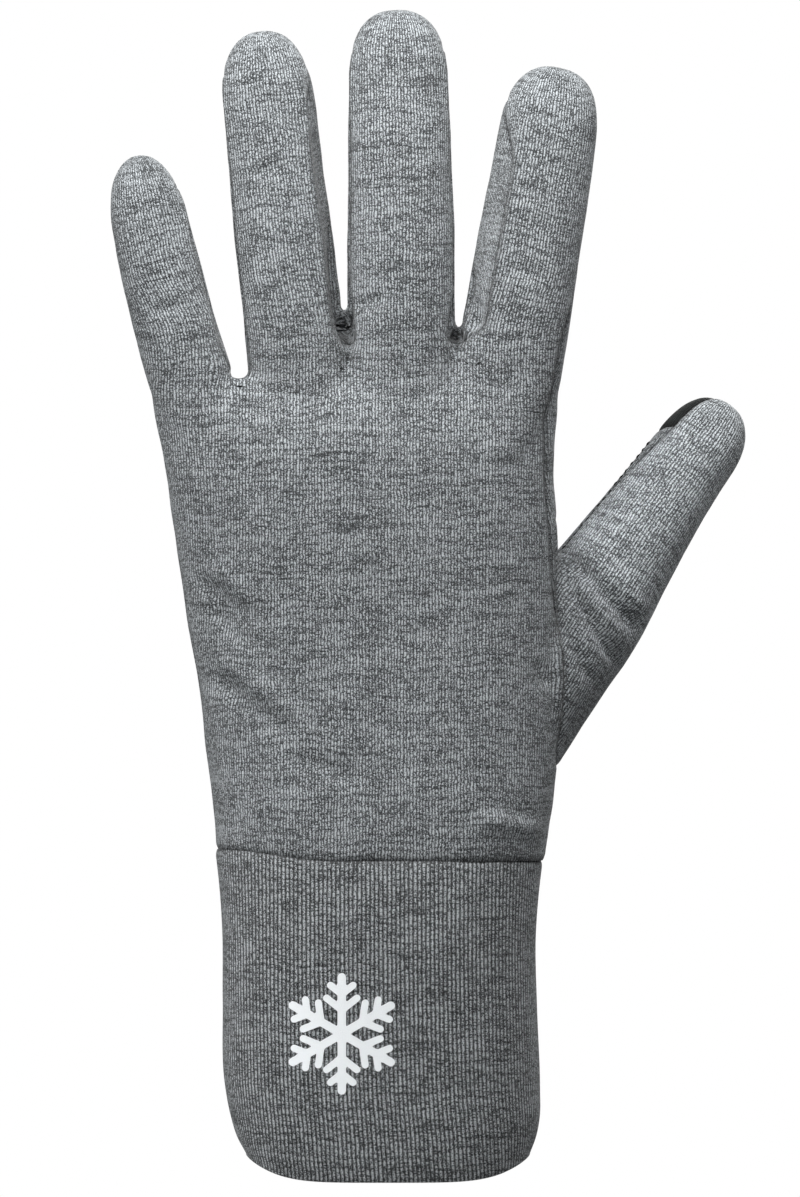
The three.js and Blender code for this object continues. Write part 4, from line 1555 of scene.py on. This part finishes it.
    def knit_map(self, points: np.ndarray, panel: Panel) -> np.ndarray:
        """Where points lie in the knit, so that the columns follow each limb.

        Args:
            points: the points.
            panel: their piece.

        Returns:
            Places in centimetres, round the limb and along it.
        """
        if panel in (Panel.THUMB_BACK, Panel.THUMB_PALM, Panel.THUMB_PAD):
            along, u, v = self.thumb.line().locate(points)
            half, deep = self.thumb.size(along)
            side = -1 if panel is Panel.THUMB_BACK else 1
            arc = arc_from_middle(u, v * side, half, deep, Thumb.SQUARE)
            return np.stack([arc, along], axis=1) * TO_CM
        x, y, z = points.T
        left, right, depth, belly = self.section_at(z)
        side = -1 if panel is Panel.BACK else 1
        middle, wide = (left + right) / 2, (right - left) / 2
        deep = np.maximum(depth, self.THIN) / 2
        arc = arc_from_middle(x - middle, (y - belly) * side, wide, deep, self.square)
        before, by = self.EDGE_BLEND
        over = (arc - (x - middle)) * ease(np.abs(x - middle), wide - before, wide - by)
        best = np.full(len(points), np.inf)
        turn, shift, rise, near, far = (np.zeros(len(points)) for _ in range(5))
        strip = np.zeros((len(points), 2))
        for k, finger in enumerate(self.fingers):
            along, u, v = finger.line().locate(points)
            half, deep = finger.size(along)
            reach = np.hypot(u / half, v / deep)
            closer = (reach < best) & (along > self.OUTER_FOOT)
            best = np.where(closer, reach, best)
            round_it = arc_from_middle(u, v * side, half, deep, Finger.SQUARE)
            turn = np.where(closer, round_it - u, turn)
            shift = np.where(closer, finger.across + u - x, shift)
            rise = np.where(closer, KNUCKLE + along - z, rise)
            start = np.where(u < 0, self.crotch_foot(k - 1), self.crotch_foot(k))
            near = np.where(closer, ease(along, start, start + self.FOOT_BLEND), near)
            far = np.where(closer, ease(along, *self.FAR_BLEND), far)
            if panel not in (Panel.BACK, Panel.PALM):
                index = int(panel) - int(Panel.LITTLE_RING)
                high = np.maximum(along - self.strips[index].web, 0)
                front = np.abs(arc_from_middle(u, -v, half, deep, Finger.SQUARE))
                level = x * self.STRIP_SLANT + (high if k > index else -high)
                place = np.stack([front, level], axis=1)
                strip = np.where(closer[:, None], place, strip)
        if panel not in (Panel.BACK, Panel.PALM):
            return strip * TO_CM
        column = x + over * (1 - near) + turn * near + shift * far
        return np.stack([column, z + rise * far], axis=1) * TO_CM

    def build(self, finishes: dict[Panel, bpy.types.Material]) -> None:
        """Makes every panel as its own piece.

        Args:
            finishes: each panel's material.
        """
        skin = self.build_skin()
        shade = self.shape_knit(skin)
        for panel in finishes:
            faces = skin.faces[skin.label == int(panel)]
            used, index = np.unique(faces, return_inverse=True)
            points = skin.points[used]
            name = panel_node(panel)
            place = self.knit_map(points, panel)
            # The painted shade goes in as the seam attribute
            piece = build_mesh(f"{name}_knit", points, index.reshape(-1, 3), place, shade[used])
            piece.data.materials.append(finishes[panel])
            thicken(piece, self.wall)
            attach(piece, "root")
            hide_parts(name)
            log.info("%s: %d faces", piece.name, len(faces))
        self.build_thread(skin, finishes[Panel.THUMB_PAD])

    def crotch_path(self, skin: Skin, row: Sequence[tuple[float, float]]) -> np.ndarray:
        """A path on the back of the hand through places in X and Z."""
        facing = skin.points[skin.normals()[:, 1] < self.BACK_FACING]
        tree = tree_of(facing * (1.0, 0.0, 1.0))
        return np.array([facing[tree.find((x, 0.0, z))[1]] for x, z in row])

    def thumb_path(self) -> np.ndarray:
        """The seam on the thumb's upper edge, from the hand to the touch pad."""
        along = np.linspace(*self.thumb_thread, self.PATH_STEPS)
        middle, across, through = self.thumb.line().at(along)
        half, deep = self.thumb.size(along)
        turn = math.radians(self.thumb.inner_turn[0])
        u, v = -half * math.cos(turn), -half * math.sin(turn)
        square = Thumb.SQUARE
        reach = (np.abs(u / half) ** square + np.abs(v / deep) ** square) ** (1 / square)
        return middle + (u / reach)[:, None] * across + (v / reach)[:, None] * through

    def build_thread(self, skin: Skin, finish: bpy.types.Material) -> None:
        """Makes the thread down the thumb, and the dark stitches at the crotches, which are partly
        thread and partly painted shade.

        Args:
            skin: the finished skin.
            finish: the thread's material.
        """
        thread = Thread()
        forms = thread.sew(skin, self.thumb_path())
        for row in self.crotch_thread_and_shade_marks:
            forms += thread.sew(skin, self.crotch_path(skin, row))
        points = np.vstack([form[0] for form in forms])
        faces: list[tuple[int, ...]] = []
        for k, form in enumerate(forms):
            start = k * len(form[0])
            faces += [tuple(start + c for c in f) for f in form[1]]
        place = points[:, [0, 2]] * TO_CM
        piece = build_mesh("seam_thread", points, faces, place, np.zeros(len(points)))
        piece.data.materials.append(finish)
        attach(piece, "root")
        log.info("%s: %d stitches", piece.name, len(forms))


@dataclass
class Cuff:
    """The ribbed cuff, a double tube folded at the hem.

    Args:
        width, depth: its size above the hem.
        wrist_width, wrist_depth: its size at the wrist seam.
        wall: thickness of its two layers.
        rise: how much higher the hem is at its sides.
        cinch: how far it draws in at the hem.
        lean: how far it lies to the left at the wrist.
        square: its sections' exponent.
        sides, rows: how finely it is built.
        groove, groove_width: how deep and how wide its edge sinks at the wrist seam.
    """

    width: float = 70.0
    depth: float = 46.0
    wrist_width: float = 72.8
    wrist_depth: float = 44.0
    wall: float = 2.2
    rise: float = 5.0
    cinch: float = 3.4
    lean: float = -2.0
    square: float = 2.5
    sides: int = 260
    rows: int = 84
    groove: float = 0.45
    groove_width: float = 0.7

    RISE_POWER = 4
    OVERLAP = 0.1  # how far it reaches past the middle of the wrist seam
    LENGTH = 71  # for the groove
    INNER_RINGS = 30
    FOLD_STEPS = 8
    BACK_MIDDLE = 0.75  # share of a turn to the middle of the back, where the knit's map starts
    # width of the painted shade in the groove below the wrist seam
    CLOSING = 2  # height that the map gives the strip between the two layers at the wrist
    SHADE_WIDTH = 0.6
    UP = (0.0, 0.05, 0.12, 0.22, 0.5, 0.74, 0.88, 1.0)
    SPREAD = (0.0, 0.0, 0.0, 0.0, -0.05, -0.1, 0.35, 1.0)
    LEAN = (0.0, 0.15, 0.3, 0.6, 0.9, 1.0, 1.0, 1.0)
    CINCH = (1.0, 0.55, 0.2, 0.0, 0.0, 0.0, 0.0, 0.0)

    def ring(self, up: float, inset: float, drop: float) -> np.ndarray:
        """One ring of the tube.

        Args:
            up: share of the way from the hem to the wrist seam.
            inset: how far it lies inside the outer face.
            drop: how far below.

        Returns:
            Its points.
        """
        angle = np.linspace(0, 2 * np.pi, self.sides, endpoint=False)
        at = np.array([up])
        spread, lean, cinch = (
            float(curve_at(self.UP, row, at)[0]) for row in (self.SPREAD, self.LEAN, self.CINCH)
        )
        half = lerp(self.width, self.wrist_width, spread) / 2 - inset - self.cinch * cinch
        deep = lerp(self.depth, self.wrist_depth, spread) / 2 - inset - self.cinch / 3 * cinch
        x, y = rounded(angle, half, deep, self.square)
        x = x + lean * self.lean
        bottom = self.wall / 2 + self.rise * np.abs(np.cos(angle)) ** self.RISE_POWER
        z = lerp(bottom, wrist_seam(x) + self.OVERLAP, up) - drop
        return np.stack([x, y, z], axis=1)

    def outer(self) -> list[np.ndarray]:
        """The outer face's rings, from the wrist seam down to the hem."""
        rings = []
        for k in range(self.rows + 1):
            up = 1 - k / self.rows
            sunk = self.groove * math.exp(-(((1 - up) * self.LENGTH / self.groove_width) ** 2))
            rings.append(self.ring(up, sunk, 0.0))
        return rings

    def all_rings(self) -> np.ndarray:
        """Every ring in order: down the outer face, round the hem's fold and up the inner face."""
        rings = self.outer()
        fold = self.wall / 2
        for turn in np.linspace(0, 1, self.FOLD_STEPS)[1:-1] * math.pi:
            rings.append(self.ring(0.0, fold * (1 - math.cos(turn)), fold * math.sin(turn)))
        for up in np.linspace(0, 1, self.INNER_RINGS):
            rings.append(self.ring(float(up), self.wall, 0.0))
        return np.array(rings)

    def build(self, finish: bpy.types.Material) -> None:
        """Makes the cuff.

        Args:
            finish: its material.
        """
        points = self.all_rings()
        rows = len(points)
        step = np.linalg.norm(np.roll(points, -1, axis=1) - points, axis=2)
        around = np.cumsum(step, axis=1) - step
        around = (around - around[:, [int(self.sides * self.BACK_MIDDLE)]]) * TO_CM
        down = np.zeros((rows, self.sides))
        down[1:] = np.cumsum(np.linalg.norm(points[1:] - points[:-1], axis=2), axis=0)
        past = around + step * TO_CM
        faces, places = [], []
        for r in range(rows):
            after = (r + 1) % rows
            here, there = r * self.sides, after * self.sides
            for k in range(self.sides):
                nxt = (k + 1) % self.sides
                faces.append((here + k, there + k, there + nxt, here + nxt))
                low = down[after, k] if after else down[r, k] + self.CLOSING
                wide = around[r, nxt] if nxt else past[r, k]
                wide_after = around[after, nxt] if nxt else past[after, k]
                places += [
                    (around[r, k], -down[r, k] * TO_CM),
                    (around[after, k], -low * TO_CM),
                    (wide_after, -low * TO_CM),
                    (wide, -down[r, k] * TO_CM),
                ]
        flat = points.reshape(-1, 3)
        # Painted shade in the groove just below the wrist seam, under the hand's edge
        height = wrist_seam(flat[:, 0]) - flat[:, 2]
        shade = np.exp(-((np.maximum(height, 0) / self.SHADE_WIDTH) ** 2))
        piece = build_mesh("cuff_knit", flat, faces, None, shade)
        layer = piece.data.uv_layers.new(name="knit")
        layer.data.foreach_set("uv", np.array(places, np.float32).ravel())
        piece.data.materials.append(finish)
        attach(piece, "root")
        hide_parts("cuff")
        log.info("%s: %d faces", piece.name, len(faces))

    def front(self, x: np.ndarray, z: np.ndarray) -> np.ndarray:
        """The outer face's Y on the back of the hand, at places in X and Z."""
        up = np.clip(z / WRIST, 0, 1)
        spread, lean = curve_at(self.UP, self.SPREAD, up), curve_at(self.UP, self.LEAN, up)
        half = lerp(self.width, self.wrist_width, spread) / 2
        deep = lerp(self.depth, self.wrist_depth, spread) / 2
        aside = np.abs((x - lean * self.lean) / half)
        return -deep * (1 - aside**self.square) ** (1 / self.square)


@dataclass
class SnowPrint:
    """A plain six-armed snow crystal printed on the cuff.

    Args:
        cuff: the cuff that it lies on.
        middle: its place in X and Z.
        arm: length of an arm.
        bar: width of an arm.
        lift: how far it lies above the ribs.
    """

    cuff: Cuff
    middle: tuple[float, float] = (-10.2, 33.0)
    arm: float = 12.5
    bar: float = 1.9
    lift: float = 0.16

    ARMS = 6
    BRANCHES = ((0.42, 4.3), (0.7, 3.2))  # share of the arm where a pair starts, and its length
    BRANCH_RUN = (0.62, 0.78)  # a branch's direction, along the arm and aside
    BRANCH_HALF = 0.42  # half a branch's width, in times the arm's
    MARGIN = 1.5
    CELL = 0.4

    def bars(self) -> np.ndarray:
        """Each bar as its start, end and half width."""
        out = []
        for k in range(self.ARMS):
            turn = math.radians(360 // self.ARMS * k + 90)
            on = np.array([math.cos(turn), math.sin(turn)])
            aside = np.array([-math.sin(turn), math.cos(turn)])
            out.append((0.0, 0.0, *(self.arm * on), self.bar / 2))
            for share, reach in self.BRANCHES:
                foot = self.arm * share * on
                for side in (-1, 1):
                    run = self.BRANCH_RUN[0] * on + self.BRANCH_RUN[1] * side * aside
                    out.append((*foot, *(foot + reach * run), self.bar * self.BRANCH_HALF))
        return np.array(out)

    def level(self, points: np.ndarray) -> np.ndarray:
        """How far points lie inside the crystal."""
        flat = points[:, [0, 2]] - np.array(self.middle)
        best = np.full(len(points), -np.inf)
        for x0, z0, x1, z1, half in self.bars():
            start, run = np.array([x0, z0]), np.array([x1 - x0, z1 - z0])
            share = np.clip((flat - start) @ run / (run @ run), 0, 1)
            gap = np.linalg.norm(flat - start - share[:, None] * run, axis=1)
            best = np.maximum(best, half - gap)
        return best

    def build(self, finish: bpy.types.Material) -> None:
        """Makes the print, cut out of a fine sheet that follows the cuff.

        Args:
            finish: its material.
        """
        reach = self.arm + self.MARGIN
        count = int(2 * reach / self.CELL)
        side = np.linspace(-reach, reach, count + 1)
        x, z = np.meshgrid(self.middle[0] + side, self.middle[1] + side)
        points = np.stack([x.ravel(), np.zeros(x.size), z.ravel()], axis=1)
        row, column = np.meshgrid(np.arange(count), np.arange(count), indexing="ij")
        a = (row * (count + 1) + column).ravel()
        lower = np.stack([a, a + 1, a + count + 2], 1)
        upper = np.stack([a, a + count + 2, a + count + 1], 1)
        faces = np.vstack([lower, upper])
        sheet = Skin(points, faces, np.full(len(faces), int(Panel.BELOW_WRIST)))
        sheet.divide(self.level, [Panel.BELOW_WRIST], Panel.BACK)
        sheet.drop(Panel.BELOW_WRIST)
        used, index = np.unique(sheet.faces, return_inverse=True)
        flat = sheet.points[used]
        flat[:, 1] = self.cuff.front(flat[:, 0], flat[:, 2]) - self.lift
        place = flat[:, [0, 2]] * TO_CM
        piece = build_mesh("cuff_print", flat, index.reshape(-1, 3), place, np.zeros(len(flat)))
        piece.data.materials.append(finish)
        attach(piece, "root")
        log.info("%s: %d faces", piece.name, len(piece.data.polygons))


@dataclass(frozen=True)
class SoftLight:
    """A square soft light.

    Args:
        name: its name.
        place: where it stands, in metres.
        target: where it points.
        size: its side in metres.
        power: its power in watts.
    """

    name: str
    place: tuple[float, float, float]
    target: tuple[float, float, float]
    size: float
    power: float

    def build(self) -> None:
        """Makes the light."""
        data = bpy.data.lights.new(self.name, "AREA")
        data.shape, data.size, data.energy = "SQUARE", self.size, self.power
        light = placed(self.name, data)
        light.location = self.place
        way = Vector(self.target) - Vector(self.place)
        light.rotation_euler = way.to_track_quat("-Z", "Y").to_euler()


@dataclass
class Studio:
    """The pale floor and backdrop, the soft lights and the camera.

    Args:
        floor_height: height of the floor, in metres.
        floor_reach: how far it goes out.
        floor_tone: how pale it is to the light.
        distance: from the glove to the camera.
        middle: place in X and Z that the camera looks at.
        view_height: how much of the height it sees.
        fill: strength of the backdrop's light.
        lights: the soft lights.
    """

    floor_height: float = -0.03
    floor_reach: float = 6.0
    floor_tone: float = 0.3
    distance: float = 4.0
    middle: tuple[float, float] = (0.00267, 0.1292)
    view_height: float = 0.266
    fill: float = 0.08
    lights: tuple[SoftLight, ...] = (
        SoftLight("key", (-0.05, -0.22, 0.61), (0.0, 0.0, 0.19), 0.32, 4.9),
        SoftLight("left", (-0.65, -0.3, 0.09), (0.0, 0.0, 0.1), 0.4, 3.3),
        SoftLight("right", (0.22, -0.12, 0.40), (0.07, 0.0, 0.17), 0.12, 0.4),
        SoftLight("rear", (0.25, 0.7, 0.45), (0.0, 0.0, 0.13), 0.5, 5.0),
    )

    SENSOR = 36.0
    FAR = 50.0

    def floor_finish(self) -> bpy.types.Material:
        """A surface that is white to the camera and pale to everything else."""
        made, n = new_material("floor_white")
        seen = n.add("ShaderNodeEmission")
        seen.inputs["Strength"].default_value = 1.0
        pale = n.add("ShaderNodeBsdfDiffuse")
        n.feed(pale.inputs["Color"], (self.floor_tone,) * 3)
        both = n.add("ShaderNodeMixShader")
        n.feed(both.inputs[0], n.add("ShaderNodeLightPath").outputs["Is Camera Ray"])
        n.feed(both.inputs[1], pale.outputs[0])
        n.feed(both.inputs[2], seen.outputs[0])
        n.finish("ShaderNodeOutputMaterial", both)
        return made

    def build_floor(self) -> None:
        """A wide pale floor below the glove."""
        reach, z = self.floor_reach, self.floor_height
        mesh = bpy.data.meshes.new("floor")
        points = [(-reach, -reach, z), (reach, -reach, z), (reach, reach, z), (-reach, reach, z)]
        mesh.from_pydata(points, [], [(0, 1, 2, 3)])
        floor = placed("floor", mesh)
        floor.data.materials.append(self.floor_finish())

    def build_world(self) -> None:
        """A white backdrop whose light on the glove is a dim even grey."""
        world = bpy.data.worlds.new("backdrop")
        bpy.context.scene.world = world
        world.use_nodes = True
        world.node_tree.nodes.clear()
        n = Nodes(world.node_tree)
        seen = n.add("ShaderNodeLightPath").outputs["Is Camera Ray"]
        shine = n.add("ShaderNodeBackground")
        shine.inputs["Color"].default_value = (1, 1, 1, 1)
        n.feed(shine.inputs["Strength"], n.math("MULTIPLY_ADD", seen, 1.0 - self.fill, self.fill))
        n.finish("ShaderNodeOutputWorld", shine)

    def build_camera(self) -> None:
        """A long lens, level with the middle of the glove."""
        data = bpy.data.cameras.new("camera")
        data.sensor_width = self.SENSOR
        data.lens = self.SENSOR * self.distance / self.view_height
        data.clip_end = self.FAR
        camera = placed("camera", data)
        camera.location = (self.middle[0], -self.distance, self.middle[1])
        camera.rotation_euler = (math.pi / 2, 0, 0)
        bpy.context.scene.camera = camera

    def build(self) -> None:
        """Sets up the whole studio."""
        bpy.context.scene.view_settings.view_transform = "Standard"
        bpy.context.scene.view_settings.look = "None"
        self.build_floor()
        self.build_world()
        for light in self.lights:
            light.build()
        self.build_camera()
        log.info("studio ready")


def corners(box: tuple[Vector, Vector]) -> list[list[float]]:
    """A box as plain lists of numbers."""
    return [list(box[0]), list(box[1])]


def main() -> None:
    """Builds the glove and the studio."""
    logging.basicConfig(level=logging.INFO, format="%(name)s %(message)s")
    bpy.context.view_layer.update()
    Studio().build()
    groups = KnitGroups()
    knit = HAND_KNIT.material(groups)
    finishes = {panel: knit for panel in Panel if panel is not Panel.BELOW_WRIST}
    # the thumb's back gets the lighter copy, which is painted light
    finishes[Panel.THUMB_BACK] = LIT_THUMB_KNIT.material(groups)
    finishes[Panel.THUMB_PAD] = PAD_KNIT.material(groups)
    Hand().build(finishes)
    cuff = Cuff()
    cuff.build(CUFF_KNIT.material(groups))
    SnowPrint(cuff).build(PrintFinish().material())


if __name__ == "__main__":
    main()
